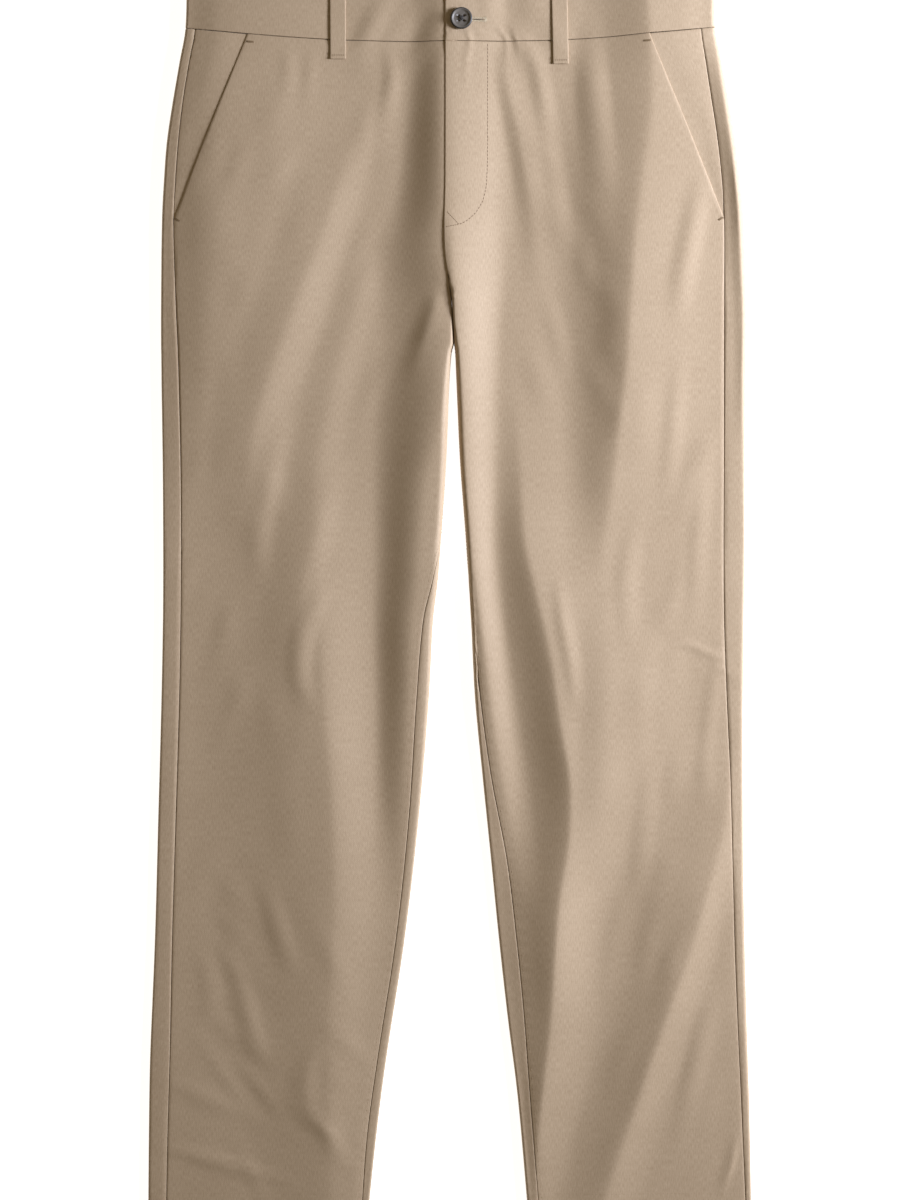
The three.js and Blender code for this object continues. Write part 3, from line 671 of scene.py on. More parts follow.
def edge_points(
    reach: float, inwards: int, width: float, high: float, low: float, degrees: np.ndarray
) -> tuple[np.ndarray, np.ndarray]:
    """Points round a folded edge.

    Args:
        reach: Distance of the fold from the centre.
        inwards: 1 where the cloth lies farther out than the fold, -1 where it lies farther in.
        width: Width of the curve.
        high: Height of its upper end.
        low: Height of its lower end.
        degrees: Angles round it: 90 on top, 0 at the fold, -90 beneath.

    Returns:
        Distances from the centre, and heights.
    """
    turn = np.radians(degrees)
    d = reach + inwards * width * (1 - np.cos(turn))
    return d, (high + low) / 2 + (high - low) / 2 * np.sin(turn)


def hexcolour(code: str) -> tuple[float, float, float, float]:
    """Turn an sRGB hex value into linear red, green, blue and alpha."""
    parts = [int(code[i : i + 2], 16) / 255 for i in (1, 3, 5)]
    linear = [c / 12.92 if c <= 0.04045 else ((c + 0.055) / 1.055) ** 2.4 for c in parts]
    return (*linear, 1.0)


def blank_material(name: str) -> bpy.types.Material:
    """Make a material with an empty node tree."""
    material = bpy.data.materials.new(name)
    material.use_nodes = True
    material.node_tree.nodes.clear()
    return material


def add_node(
    tree: bpy.types.NodeTree,
    kind: str,
    settings: dict[str | int, object] | None = None,
    links: dict[str | int, bpy.types.NodeSocket] | None = None,
) -> bpy.types.Node:
    """Add a node to a material.

    Args:
        tree: The material's node tree.
        kind: Blender's name for the node's type, without the word ShaderNode.
        settings: Values for the node's own properties, or for its inputs by name.
        links: Sockets to join to the node's inputs.

    Returns:
        The new node.
    """
    node = tree.nodes.new(f"ShaderNode{kind}")
    for name, value in (settings or {}).items():
        if isinstance(name, str) and hasattr(node, name):
            setattr(node, name, value)
        else:
            node.inputs[name].default_value = value
    for name, socket in (links or {}).items():
        tree.links.new(socket, node.inputs[name])
    return node


# Distance between the lines of a diagonal wave of scale 1, where a flat face cuts them.
WAVE_GAP = 0.444


def add_diagonal(
    tree: bpy.types.NodeTree,
    gap_mm: float,
    place: bpy.types.NodeSocket,
    settings: dict[str | int, object],
) -> bpy.types.NodeSocket:
    """Add diagonal lines at a distance from each other, and return their strength."""
    settings = {"bands_direction": "DIAGONAL", "Scale": WAVE_GAP / (gap_mm * MM), **settings}
    return add_node(tree, "TexWave", settings, {"Vector": place}).outputs["Fac"]


def add_sum(
    tree: bpy.types.NodeTree, share: float, part: bpy.types.NodeSocket, rest: bpy.types.NodeSocket
) -> bpy.types.NodeSocket:
    """Add a share of one value to another."""
    node = add_node(tree, "Math", {"operation": "MULTIPLY_ADD", 1: share}, {0: part, 2: rest})
    return node.outputs["Value"]


def add_range(
    tree: bpy.types.NodeTree, value: bpy.types.NodeSocket, low: float, high: float
) -> bpy.types.NodeSocket:
    """Stretch a value so that it runs from 0 at low to 1 at high."""
    node = add_node(tree, "MapRange", {"From Min": low, "From Max": high}, {"Value": value})
    return node.outputs["Result"]


def add_mix(
    tree: bpy.types.NodeTree,
    share: bpy.types.NodeSocket,
    first: str | bpy.types.NodeSocket,
    second: str | bpy.types.NodeSocket,
) -> bpy.types.NodeSocket:
    """Blend two colours.

    Args:
        tree: The material's node tree.
        share: How much of the second one shows.
        first: A colour, as a hex value or a socket.
        second: Another.

    Returns:
        The blend.
    """
    settings, links = {"data_type": "RGBA"}, {"Factor": share}
    for name, colour in (("A", first), ("B", second)):
        if isinstance(colour, str):
            settings[name] = hexcolour(colour)
        else:
            links[name] = colour
    return add_node(tree, "Mix", settings, links).outputs[2]


def add_surface(
    tree: bpy.types.NodeTree,
    settings: dict[str | int, object],
    links: dict[str | int, bpy.types.NodeSocket],
) -> None:
    """Close a material with its surface."""
    surface = add_node(tree, "BsdfPrincipled", settings, links)
    add_node(tree, "OutputMaterial", {}, {"Surface": surface.outputs["BSDF"]})


@dataclass(frozen=True)
class CottonTwill:
    """Cotton chino twill, piece-dyed and brushed a little, so it is matt with a soft bloom.

    The yarns run up the garment as fine slubs, and the twill line crosses them. The real line is
    0.6 mm apart, too fine to show, so it is drawn 1.3 mm apart.
    """

    name: str = "cotton_twill"
    colour: str = "#bda688"
    shade: str = "#a0886a"
    bloom: str = "#e8dccb"
    roughness: float = 0.7
    sheen: float = 0.12
    twill_mm: float = 1.3
    slub_mm: float = 0.75
    cloud_mm: float = 55.0
    relief_mm: float = 0.1

    def build(self) -> bpy.types.Material:
        """Make the material."""
        material = blank_material(self.name)
        tree = material.node_tree
        place = add_node(tree, "UVMap", {"uv_map": "cloth"}).outputs["UV"]

        def noise(
            size_mm: float, squeeze: tuple[float, float, float], settings: dict[str | int, object]
        ) -> bpy.types.NodeSocket:
            """Uneven marks of a size, drawn out where they are squeezed by less than 1."""
            drawn = add_node(tree, "Mapping", {"Scale": squeeze}, {"Vector": place}).outputs["Vector"]
            settings = {"Scale": 1 / (size_mm * MM), **settings}
            return add_node(tree, "TexNoise", settings, {"Vector": drawn}).outputs["Fac"]

        # Slubs: thick and thin places in the yarn, many times longer than they are wide.
        slubs = noise(self.slub_mm, (1.0, 0.16, 1.0), {"Detail": 2.0, "Roughness": 0.55})
        weft = noise(self.slub_mm, (0.08, 1.0, 1.0), {"Detail": 1.0})
        # Clouds: places where the dye took a little more or less.
        cloud = noise(self.cloud_mm, (1.0, 1.0, 1.0), {"Detail": 3.0, "Roughness": 0.6})
        twill = add_diagonal(tree, self.twill_mm, place, {"Distortion": 0.6, "Detail": 1.0})
        yarns = add_sum(tree, 0.16, weft, slubs)
        drift = add_sum(tree, 0.35, cloud, add_range(tree, yarns, 0.28, 0.9))
        colour = add_mix(tree, add_range(tree, drift, 0.2, 1.25), self.shade, self.colour)
        weave = add_sum(tree, 0.5, twill, yarns)
        bump = add_node(
            tree, "Bump", {"Strength": 0.35, "Distance": self.relief_mm * MM}, {"Height": weave}
        )
        add_surface(
            tree,
            {
                "Roughness": self.roughness,
                "IOR": 1.55,
                "Sheen Weight": self.sheen,
                "Sheen Roughness": 0.5,
                "Sheen Tint": hexcolour(self.bloom),
            },
            {"Base Color": colour, "Normal": bump.outputs["Normal"]},
        )
        return material


@dataclass(frozen=True)
class SewingThread:
    """Spun polyester thread, dyed to the cloth: a little darker, with a faint lustre."""

    name: str = "sewing_thread"
    colour: str = "#a08869"
    roughness: float = 0.6
    twist_mm: float = 0.5
    relief_mm: float = 0.05

    def build(self) -> bpy.types.Material:
        """Make the material."""
        material = blank_material(self.name)
        tree = material.node_tree
        place = add_node(tree, "TexCoord").outputs["Object"]
        twist = add_diagonal(tree, self.twist_mm, place, {})
        bump = add_node(
            tree, "Bump", {"Strength": 0.3, "Distance": self.relief_mm * MM}, {"Height": twist}
        )
        add_surface(
            tree,
            {"Base Color": hexcolour(self.colour), "Roughness": self.roughness, "IOR": 1.5},
            {"Normal": bump.outputs["Normal"]},
        )
        return material


@dataclass(frozen=True)
class ButtonResin:
    """Dark polyester button resin, moulded and tumbled to a soft polish, faintly marbled.

    Its colour turns nearly black towards the edge of the disc.
    """

    name: str = "button_resin"
    colour: str = "#544e47"
    vein: str = "#6f685f"
    rim: str = "#292622"
    roughness: float = 0.5
    vein_mm: float = 4.0
    rim_from: float = 7.9
    rim_full: float = 8.5

    def build(self) -> bpy.types.Material:
        """Make the material."""
        material = blank_material(self.name)
        tree = material.node_tree
        place = add_node(tree, "TexCoord").outputs["Object"]
        settings = {"Scale": 1 / (self.vein_mm * MM), "Detail": 4.0, "Distortion": 1.5}
        veins = add_node(tree, "TexNoise", settings, {"Vector": place}).outputs["Fac"]
        colour = add_mix(tree, veins, self.colour, self.vein)
        # Distance from the button's middle, seen from above.
        reach, middle = place, (BUTTON_X * MM, BUTTON_Y * MM, 0)
        for operation, value in (("SUBTRACT", middle), ("MULTIPLY", (1, 1, 0))):
            settings = {"operation": operation, 1: value}
            reach = add_node(tree, "VectorMath", settings, {0: reach}).outputs["Vector"]
        reach = add_node(tree, "VectorMath", {"operation": "LENGTH"}, {0: reach}).outputs["Value"]
        edge = add_range(tree, reach, self.rim_from * MM, self.rim_full * MM)
        shown = add_mix(tree, edge, colour, self.rim)
        add_surface(tree, {"Roughness": self.roughness, "IOR": 1.55}, {"Base Color": shown})
        return material


@dataclass
class Wardrobe:
    """The finishes that the pieces share."""

    twill: bpy.types.Material
    facing: bpy.types.Material
    thread: bpy.types.Material
    tack_thread_painted_shade: bpy.types.Material
    button_thread: bpy.types.Material
    hole_thread: bpy.types.Material
    painted_slit_shadow: bpy.types.Material
    resin: bpy.types.Material

    @classmethod
    def build(cls) -> "Wardrobe":
        """Make every finish."""
        return cls(
            CottonTwill().build(),
            # A copy of the twill a little lighter than the rest: painted light that brightens the
            # facings where they lie in the front's shade.
            CottonTwill("pocket_facing_twill_painted_light", "#bfa88a", "#a28a6c").build(),
            SewingThread().build(),
            # Darker than the other thread: partly its own colour and partly painted shade of the groove
            # that its rows press into the cloth.
            SewingThread("bartack_thread_painted_shade", "#7d674a").build(),
            SewingThread("button_thread", "#36322f").build(),
            SewingThread("buttonhole_thread", "#c6b698").build(),
            # A dark strip laid in the buttonhole's slit: painted shadow of the opening.
            SewingThread("buttonhole_painted_shadow", "#4a3d2f", 0.9).build(),
            ButtonResin().build(),
        )


def placed(name: str, data: bpy.types.ID) -> bpy.types.Object:
    """Make an object from its data and put it in the scene."""
    item = bpy.data.objects.new(name, data)
    bpy.context.scene.collection.objects.link(item)
    return item


def mesh_from(bm: bmesh.types.BMesh, name: str) -> bpy.types.Mesh:
    """Turn a finished bmesh into a mesh, and free it."""
    mesh = bpy.data.meshes.new(name)
    bm.to_mesh(mesh)
    bm.free()
    return mesh


def finish_object(
    name: str, mesh: bpy.types.Mesh, material: bpy.types.Material
) -> bpy.types.Object:
    """Turn a mesh into a piece of the trousers.

    Args:
        name: The piece's name.
        mesh: Its mesh, already in place.
        material: Its finish.

    Returns:
        The new object, riding on the garment.
    """
    mesh.name = name
    mesh.materials.append(material)
    mesh.shade_smooth()
    piece = placed(name, mesh)
    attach(piece, "root")
    return piece


@dataclass(frozen=True)
class Row:
    """One row of a sheet: its level, and how far inside the garment's face it lies."""

    y: float
    inset: float = 0.0


@dataclass
class Sheet:
    """A piece of cloth that follows the garment's face, with its raw edges turned in.

    Attributes:
        name: The piece's name.
        side: The side of the wearer that it is on.
        path: Gives the outer face at a level as points across the garment.
        rows: Its levels from the bottom edge up.
        outward: 1 where the path's direction crossed with +Y points out, else -1.
        spacing: Distance between points, in millimetres.
        allowance: Width of cloth turned in at the path's two ends.
        ridge: Height that the turned-in cloth gives the face above it.
        grain: Distance from the centre of the line that the yarns run along. The far end if 0.
    """

    name: str
    side: Side
    path: Callable[[Side, float], np.ndarray]
    rows: list[Row]
    outward: int
    spacing: float = 3.3
    allowance: tuple[float, float] = (10.0, 10.0)
    ridge: float = 0.04
    grain: float = 0.0
    columns: int = field(default=0, init=False)

    # Millimetres of flat cloth that a turn of one radian counts for, in spacing the points.
    TURN_WEIGHT = 9.0

    def _extended(self, row: Row) -> tuple[np.ndarray, np.ndarray]:
        """Shape a row with its two edges turned in.

        Args:
            row: The row.

        Returns:
            The row's points, and the distance along the cloth at each.
        """
        path = self.path(self.side, row.y)
        steps = np.linalg.norm(np.diff(path, axis=0), axis=1)
        path = path[np.concatenate([[True], steps > 1e-4])]
        length = distances(path)
        trim = SEAM_GAP / 2 + TURN_RADIUS
        # The plies beneath are sampled as finely as the face.
        at = np.linspace(trim, length[-1] - trim, max(int(length[-1] / 0.8), 60))
        face = np.stack([np.interp(at, length, path[:, k]) for k in range(3)], axis=1)
        heading = np.gradient(face, at, axis=0)
        heading /= np.linalg.norm(heading, axis=1)[:, None]
        normal = np.cross(heading, (0.0, 1.0, 0.0)) * self.outward
        normal /= np.linalg.norm(normal, axis=1)[:, None]
        from_start, from_end = at - at[0], at[-1] - at
        pad = self.ridge * sum(
            ease(s / 2.0) * (1 - ease((s - width + 1) / 3.0))
            for s, width in ((from_start, self.allowance[0]), (from_end, self.allowance[1]))
            if width > 0
        )
        face = face + normal * (pad - row.inset)[:, None]
        points = face
        if self.allowance[0] > 0:
            inner = np.flatnonzero(from_start < self.allowance[0])
            turned = self._turned_in(face, normal, -heading[0], inner)
            points = np.concatenate([turned[::-1], points])
        if self.allowance[1] > 0:
            inner = np.flatnonzero(from_end < self.allowance[1])[::-1]
            turned = self._turned_in(face, normal, heading[-1], inner)
            points = np.concatenate([points, turned])
        along = distances(points)
        return points, along - self._grain_place(points, along)

    @staticmethod
    def _turned_in(
        face: np.ndarray, normal: np.ndarray, outwards: np.ndarray, inner: np.ndarray
    ) -> np.ndarray:
        """Turn the cloth under at one edge of a row and lead it back inside.

        Args:
            face: The row's points.
            normal: Direction off the face at each.
            outwards: Direction off the edge.
            inner: Numbers of the points, from the edge inwards, that the cloth lies beneath.

        Returns:
            The points round the turn and then beneath the face.
        """
        edge, up = face[inner[0]], normal[inner[0]]
        turn = np.radians(np.linspace(90, -90, 9))[1:-1, None]
        arc = edge + TURN_RADIUS * (outwards * np.cos(turn) + up * (np.sin(turn) - 1))
        beneath = evened(face[inner] - normal[inner] * 2 * TURN_RADIUS, 8)
        return np.concatenate([arc, beneath])

    def _grain_place(self, points: np.ndarray, along: np.ndarray) -> float:
        """Distance along a row at which the straight grain crosses it."""
        beyond = np.abs(points[:, 0]) > self.grain
        crossings = np.flatnonzero(beyond[1:] != beyond[:-1])
        if not self.grain or not len(crossings):
            return float(along[-1])
        k = crossings[-1]
        near, far = np.abs(points[k, 0]), np.abs(points[k + 1, 0])
        return float(along[k] + (self.grain - near) / (far - near) * (along[k + 1] - along[k]))

    def _stations(self, points: np.ndarray, along: np.ndarray) -> np.ndarray:
        """Spread a fixed number of columns along a row, closer where it turns.

        Args:
            points: The row's shape.
            along: Distance along the cloth at each point.

        Returns:
            The columns' places, as shares of the row's length.
        """
        steps = np.diff(points, axis=0)
        lengths = np.linalg.norm(steps, axis=1)
        unit = steps / np.maximum(lengths, 1e-9)[:, None]
        turns = np.arccos(np.clip((unit[:-1] * unit[1:]).sum(axis=1), -1, 1))
        weight = lengths + self.TURN_WEIGHT * np.concatenate([np.minimum(turns, 0.4), [0.0]])
        total = np.concatenate([[0.0], np.cumsum(weight)])
        if not self.columns:
            self.columns = int(total[-1] / self.spacing)
        wanted = np.linspace(0, total[-1], self.columns + 1)
        return (np.interp(wanted, total, along) - along[0]) / (along[-1] - along[0])

    def _grid(self) -> np.ndarray:
        """Places of all points, row by row, with the distance along the cloth as a fourth value."""
        shapes = [self._extended(row) for row in self.rows]
        shares = np.array([self._stations(*shape) for shape in shapes])
        # Neighbouring rows share their spacing, so the columns run smoothly down the cloth.
        shares = evened(shares, 12)
        grid = []
        for share, (points, along) in zip(shares, shapes):
            place = along[0] + share * (along[-1] - along[0])
            columns = [np.interp(place, along, points[:, k]) for k in range(3)]
            grid.append(np.stack([*columns, place], axis=1))
        return np.array(grid)

    def build(self, material: bpy.types.Material, slot: str) -> bpy.types.Object:
        """Make the piece.

        Args:
            material: Its finish.
            slot: The record's material slot; not used.

        Returns:
            The piece, with its thickness from a Solidify modifier.
        """
        shaped = self._grid()
        climb = np.linalg.norm(np.diff(shaped[:, :, :3], axis=0), axis=2).mean(axis=1)
        up = np.concatenate([[0.0], np.cumsum(climb)])
        bm = bmesh.new()
        across, levels = self.columns, len(self.rows) - 1
        bmesh.ops.create_grid(bm, x_segments=across, y_segments=levels, size=0.5)
        layer = bm.loops.layers.uv.new("cloth")
        for vert in bm.verts:
            i, j = round((vert.co.x + 0.5) * across), round((vert.co.y + 0.5) * levels)
            vert.index = j * (across + 1) + i
            vert.co = Vector(shaped[j, i, :3]) * MM
        for face in bm.faces:
            for loop in face.loops:
                j, i = divmod(loop.vert.index, across + 1)
                loop[layer].uv = (shaped[j, i, 3] * MM, up[j] * MM)
        if self.outward < 0:
            bmesh.ops.reverse_faces(bm, faces=bm.faces)
        piece = finish_object(self.name, mesh_from(bm, self.name), material)
        wall = piece.modifiers.new("thickness", "SOLIDIFY")
        wall.thickness = CLOTH * MM
        wall.offset = -1.0
        wall.use_even_offset = False
        return piece


def spread(low: float, high: float, step: float) -> list[float]:
    """Levels about one step apart, from low to high, both included."""
    count = max(int(round((high - low) / step)), 1)
    return [low + (high - low) * k / count for k in range(count + 1)]


def turned_edge(y: float, radius: float, upwards: bool, ply: float) -> list[Row]:
    """Rows that turn an edge in and lead it back inside.

    Args:
        y: Level of the folded edge.
        radius: Radius of the turn.
        upwards: Whether the edge is the upper one.
        ply: Length of cloth that lies inside.

    Returns:
        The rows, from the fold inwards.
    """
    sense = 1 if upwards else -1
    rows = []
    for degrees in (15, 35, 55, 75, 90, 110, 130, 150, 180):
        angle = math.radians(degrees)
        level = y - sense * radius * (1 - math.sin(angle))
        rows.append(Row(level, radius * (1 - math.cos(angle))))
    return rows + [Row(y - sense * (radius + s), 2 * radius) for s in spread(0, ply, 4.0)[1:]]


class Trousers:
    """Paths of the main cloth pieces across the garment at a level."""

    @staticmethod
    def front(side: Side, y: float) -> np.ndarray:
        """Outer face of the front panel, from the side seam or pocket mouth to its inner end."""
        start = Pocket.front_start(side, FORM.side_level(y))
        edge = InnerEdge.at(side, y, False)
        lap = OVERLAP * float(ease((y - FLY_END_Y) / 27)) * (side is Side.RIGHT)
        top_end = edge.reach + edge.width + edge.strip - lap
        d = np.linspace(start, top_end, 260)
        tuck = 0.25 * ease((top_end + lap - d) / 3) * (lap > 0)
        points = FORM.upper(side, d, y, FORM.front_top, tuck)
        if edge.strip > 0 or edge.angle > 89:
            return points
        degrees = np.linspace(90, edge.angle, 40)[1:]
        d, z = edge_points(edge.reach, 1, edge.width, edge.high, 0, degrees)
        return np.concatenate([points, np.stack([side.sign * d, np.full_like(d, y), z], axis=1)])

    @staticmethod
    def _outer_fold(side: Side, y: float, high: float, low: float) -> tuple[float, float, np.ndarray]:
        """The fold at the garment's side: where it starts, its width and its points."""
        outer = float(OUTLINE[side].at("outer", FORM.side_level(y)))
        width = EDGE_ROUNDNESS * (high - low)
        degrees = np.linspace(90, -90, 40)
        d, z = edge_points(outer, -1, width, high, low, degrees)
        lift = np.where(degrees > 0, FORM.front_lift(d, y), FORM.back_lift(d, y))
        return outer, width, np.stack([side.sign * d, y + lift, z], axis=1)

    @staticmethod
    def _edge_height(side: Side, y: float) -> float:
        """Height of the front beside the garment's side fold."""
        edge_y = FORM.side_level(y)
        outer = float(OUTLINE[side].at("outer", edge_y))
        return float(FORM.front_height(side, side.sign * (outer - 4), edge_y))

    @staticmethod
    def back(side: Side, y: float) -> np.ndarray:
        """Outer face of the back panel, from the side seam round beneath to its inner end."""
        low = FORM.floor_height(y)
        outer, width, fold = Trousers._outer_fold(side, y, Trousers._edge_height(side, y), low)
        edge = InnerEdge.at(side, y, True)
        edge_in = edge.reach + edge.width
        seam = float(OUTLINE[side].at("seam", FORM.side_level(y)))
        strip = np.linspace(seam, outer - width, 30)
        d = np.linspace(outer - width, edge_in, 200)
        fade = ease((outer - width - d) / 20) * ease((d - edge_in) / 20)
        beneath = FORM.under(side, d, y, low + Back.hollow(side.sign * d, y) * fade)
        parts = [FORM.upper(side, strip, y, FORM.front_top), fold[1:], beneath[1:]]
        if edge.angle > -89:
            degrees = np.linspace(-90, edge.angle, 40)[1:]
            d, z = edge_points(edge.reach, 1, edge.width, edge.high, 0, degrees)
            level = np.full_like(d, y + float(FORM.back_lift(0.0, y)))
            parts.append(np.stack([side.sign * d, level, np.maximum(z, low)], axis=1))
        if edge.strip > 0:
            strip = np.linspace(edge_in, edge_in + edge.strip, 12)
            parts.append(FORM.upper(side, strip, y, FORM.front_top)[1:])
        return np.concatenate(parts)

    @staticmethod
    def waistband(side: Side, y: float) -> np.ndarray:
        """Outer face of the waistband, from the centre front round the side to the centre back."""
        high = Trousers._edge_height(side, y) + BAND_PROUD
        outer, width, fold = Trousers._outer_fold(side, y, high, BACK_REST)
        end = side.sign * float(CENTRE_FRONT.at("x", y))
        start = end - BAND_OVERLAP if side is Side.RIGHT else end
        d = np.linspace(start, outer - width, 240)
        tuck = 0.3 * ease((end - d) / 10) * (side is Side.RIGHT)
        top = FORM.upper(side, d, y, FORM.band_top, tuck)
        d = np.linspace(outer - width, 0, 120)
        beneath = FORM.under(side, d, y, np.full_like(d, BACK_REST))
        return np.concatenate([top, fold[1:], beneath[1:]])


class Back:
    """The seat and the backs of the legs, which rest on the surface."""

    # Shallow hollows where the cloth beneath doesn't quite touch the surface.
    HOLLOWS = (
        Ridge(((330, -60, 16, 22, 0), (260, -95, 16, 22, 0.7), (180, -150, 16, 22, 0)), 2.0),
        Ridge(((340, 70, 20, 14, 0), (270, 105, 20, 14, 0.6), (200, 150, 20, 14, 0)), 2.0),
        Ridge(((60, -120, 22, 16, 0), (-50, -138, 22, 16, 0.8), (-160, -150, 22, 16, 0)), 2.0),
        Ridge(((20, 130, 14, 24, 0), (-90, 148, 14, 24, 0.8), (-200, 160, 14, 24, 0)), 2.0),
        Ridge(((-230, -110, 18, 18, 0), (-330, -148, 18, 18, 0.6), (-420, -190, 18, 18, 0)), 2.0),
        Ridge(((-260, 120, 16, 20, 0), (-360, 152, 16, 20, 0.6), (-450, 180, 16, 20, 0)), 2.0),
    )

    @classmethod
    def hollow(cls, x: np.ndarray, y: float) -> np.ndarray:
        """Height of the hollows above the surface."""
        return sum(hollow.height(x, np.full_like(x, y)) for hollow in cls.HOLLOWS)


@dataclass(frozen=True)
class Legs:
    """The two fronts and the two backs.

    Attributes:
        front_step: Distance between the points of a front, in millimetres.
        back_step: Distance between the points of a back.
        hem_ply: Depth of cloth turned up inside the hem.
        hem_radius: Radius of the hem's turned edge.
        grain: Distance from the centre of each panel's grain line.
    """

    front_step: float = 2.9
    back_step: float = 4.2
    hem_ply: float = 33.0
    hem_radius: float = 0.9
    grain: float = 140.0

    def _levels(self, step: float) -> list[Row]:
        """Levels a step apart, from the hem's inner edge round to the waist seam."""
        hem = turned_edge(HEM_Y, self.hem_radius, False, self.hem_ply)[::-1]
        body = [Row(y) for y in spread(HEM_Y + self.hem_radius, WAIST_SEAM_Y - 2, step)]
        top = WAIST_SEAM_Y - SEAM_GAP / 2
        sinks = ((0.9, 0.02), (0.45, 0.14), (0.15, 0.34), (0.0, 0.6), (0.0, 1.1))
        return hem + body + [Row(top - down, inset) for down, inset in sinks]

    def build(self, finishes: Wardrobe) -> dict[str, bpy.types.Object]:
        """Make the four panels.

        Args:
            finishes: The shared finishes.

        Returns:
            The panels by name.
        """
        panels = {}
        for side in Side:
            for part, path, step, outward in (
                ("front", Trousers.front, self.front_step, -side.sign),
                ("back", Trousers.back, self.back_step, side.sign),
            ):
                name, levels = f"{part}_{side.value}", self._levels(step)
                sheet = Sheet(f"{name}_cloth", side, path, levels, outward, step, grain=self.grain)
                panels[name] = sheet.build(finishes.twill, "twill")
                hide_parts(name)
        return panels


@dataclass(frozen=True)
class Pocket:
    """A slant pocket: its facing shows between the front's mouth edge and the side seam.

    Attributes:
        side: The side of the wearer that it is on.
        lap: How far the facing runs on beneath the front.
        sink: How far it lies below the front there.
        dip: How much farther it sinks at half its height.
        step: Distance between its rows, in millimetres.
    """

    side: Side
    lap: float = 11.0
    sink: float = 0.62
    dip: float = 0.1
    step: float = 2.6

    # Distances from the centre of the mouth's upper and lower ends, and their levels.
    MOUTH = {Side.RIGHT: (175.0, 235.0), Side.LEFT: (172.0, 232.5)}
    TOP_Y = 480.0
    END_Y = 325.0

    @classmethod
    def front_start(cls, side: Side, y: float) -> float:
        """Distance from the centre at which the front panel starts."""
        seam = float(OUTLINE[side].at("seam", y))
        t = (y - cls.END_Y) / (cls.TOP_Y - cls.END_Y)
        top, end = cls.MOUTH[side]
        return seam if t < 0 else min(seam, end + (top - end) * t)

    def path(self, side: Side, y: float) -> np.ndarray:
        """Outer face of the facing, from beneath the front up to the side seam."""
        edge_y = FORM.side_level(y)
        mouth = self.front_start(side, edge_y)
        seam = float(OUTLINE[side].at("seam", edge_y))
        level = min(max((y - self.END_Y) / (self.TOP_Y - self.END_Y), 0), 1)
        depth = self.sink + self.dip * math.sin(math.pi * level) ** 2
        d = np.linspace(mouth - self.lap, seam, 80)
        out = ease((d - mouth) / min(max(seam - mouth, 10), 22))
        return FORM.upper(side, d, y, FORM.front_height, depth * (1 - out))

    def build(self, finishes: Wardrobe) -> bpy.types.Object:
        """Make the facing."""
        top = WAIST_SEAM_Y - SEAM_GAP / 2
        rows = [Row(y) for y in spread(self.END_Y - 3, top - 2, self.step)]
        rows += [Row(top - down, inset) for down, inset in ((0.9, 0.02), (0.3, 0.25), (0.0, 0.8))]
        side, name = self.side, f"pocket_facing_{self.side.value}"
        sheet = Sheet(f"{name}_cloth", side, self.path, rows, side.sign, 1.6, (0.0, 8.0), 0.08)
        piece = sheet.build(finishes.facing, "pocket_facing")
        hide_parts(name)
        return piece


@dataclass(frozen=True)
class Waistband:
    """The waistband of one side: a strip folded over at its top edge, with its facing inside.

    Attributes:
        side: The side of the wearer.
        step: Distance between its points and rows, in millimetres.
        thickness: Thickness of the folded band.
        lower_ply: Depth of cloth turned up at its lower edge.
        facing: Depth of the facing inside.
        end_ply: Depth of cloth turned in at its front end.
    """

    side: Side
    step: float = 2.2
    thickness: float = 2.0
    lower_ply: float = 6.0
    facing: float = BAND_HEIGHT - 2.4
    end_ply: float = 8.0

    def build(self, finishes: Wardrobe) -> bpy.types.Object:
        """Make the band."""
        low, high = WAIST_SEAM_Y + SEAM_GAP / 2, WAIST_SEAM_Y + BAND_HEIGHT
        rows = turned_edge(low, TURN_RADIUS, False, self.lower_ply)[::-1]
        rows += [Row(y) for y in spread(low + TURN_RADIUS, high - self.thickness / 2, self.step)]
        rows += turned_edge(high, self.thickness / 2, True, self.facing)
        side, name = self.side, f"waistband_{self.side.value}"
        ends = (self.end_ply, 0.0)
        sheet = Sheet(f"{name}_cloth", side, Trousers.waistband, rows, side.sign, self.step, ends, 0.0)
        piece = sheet.build(finishes.twill, "waistband")
        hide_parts(name)
        return piece


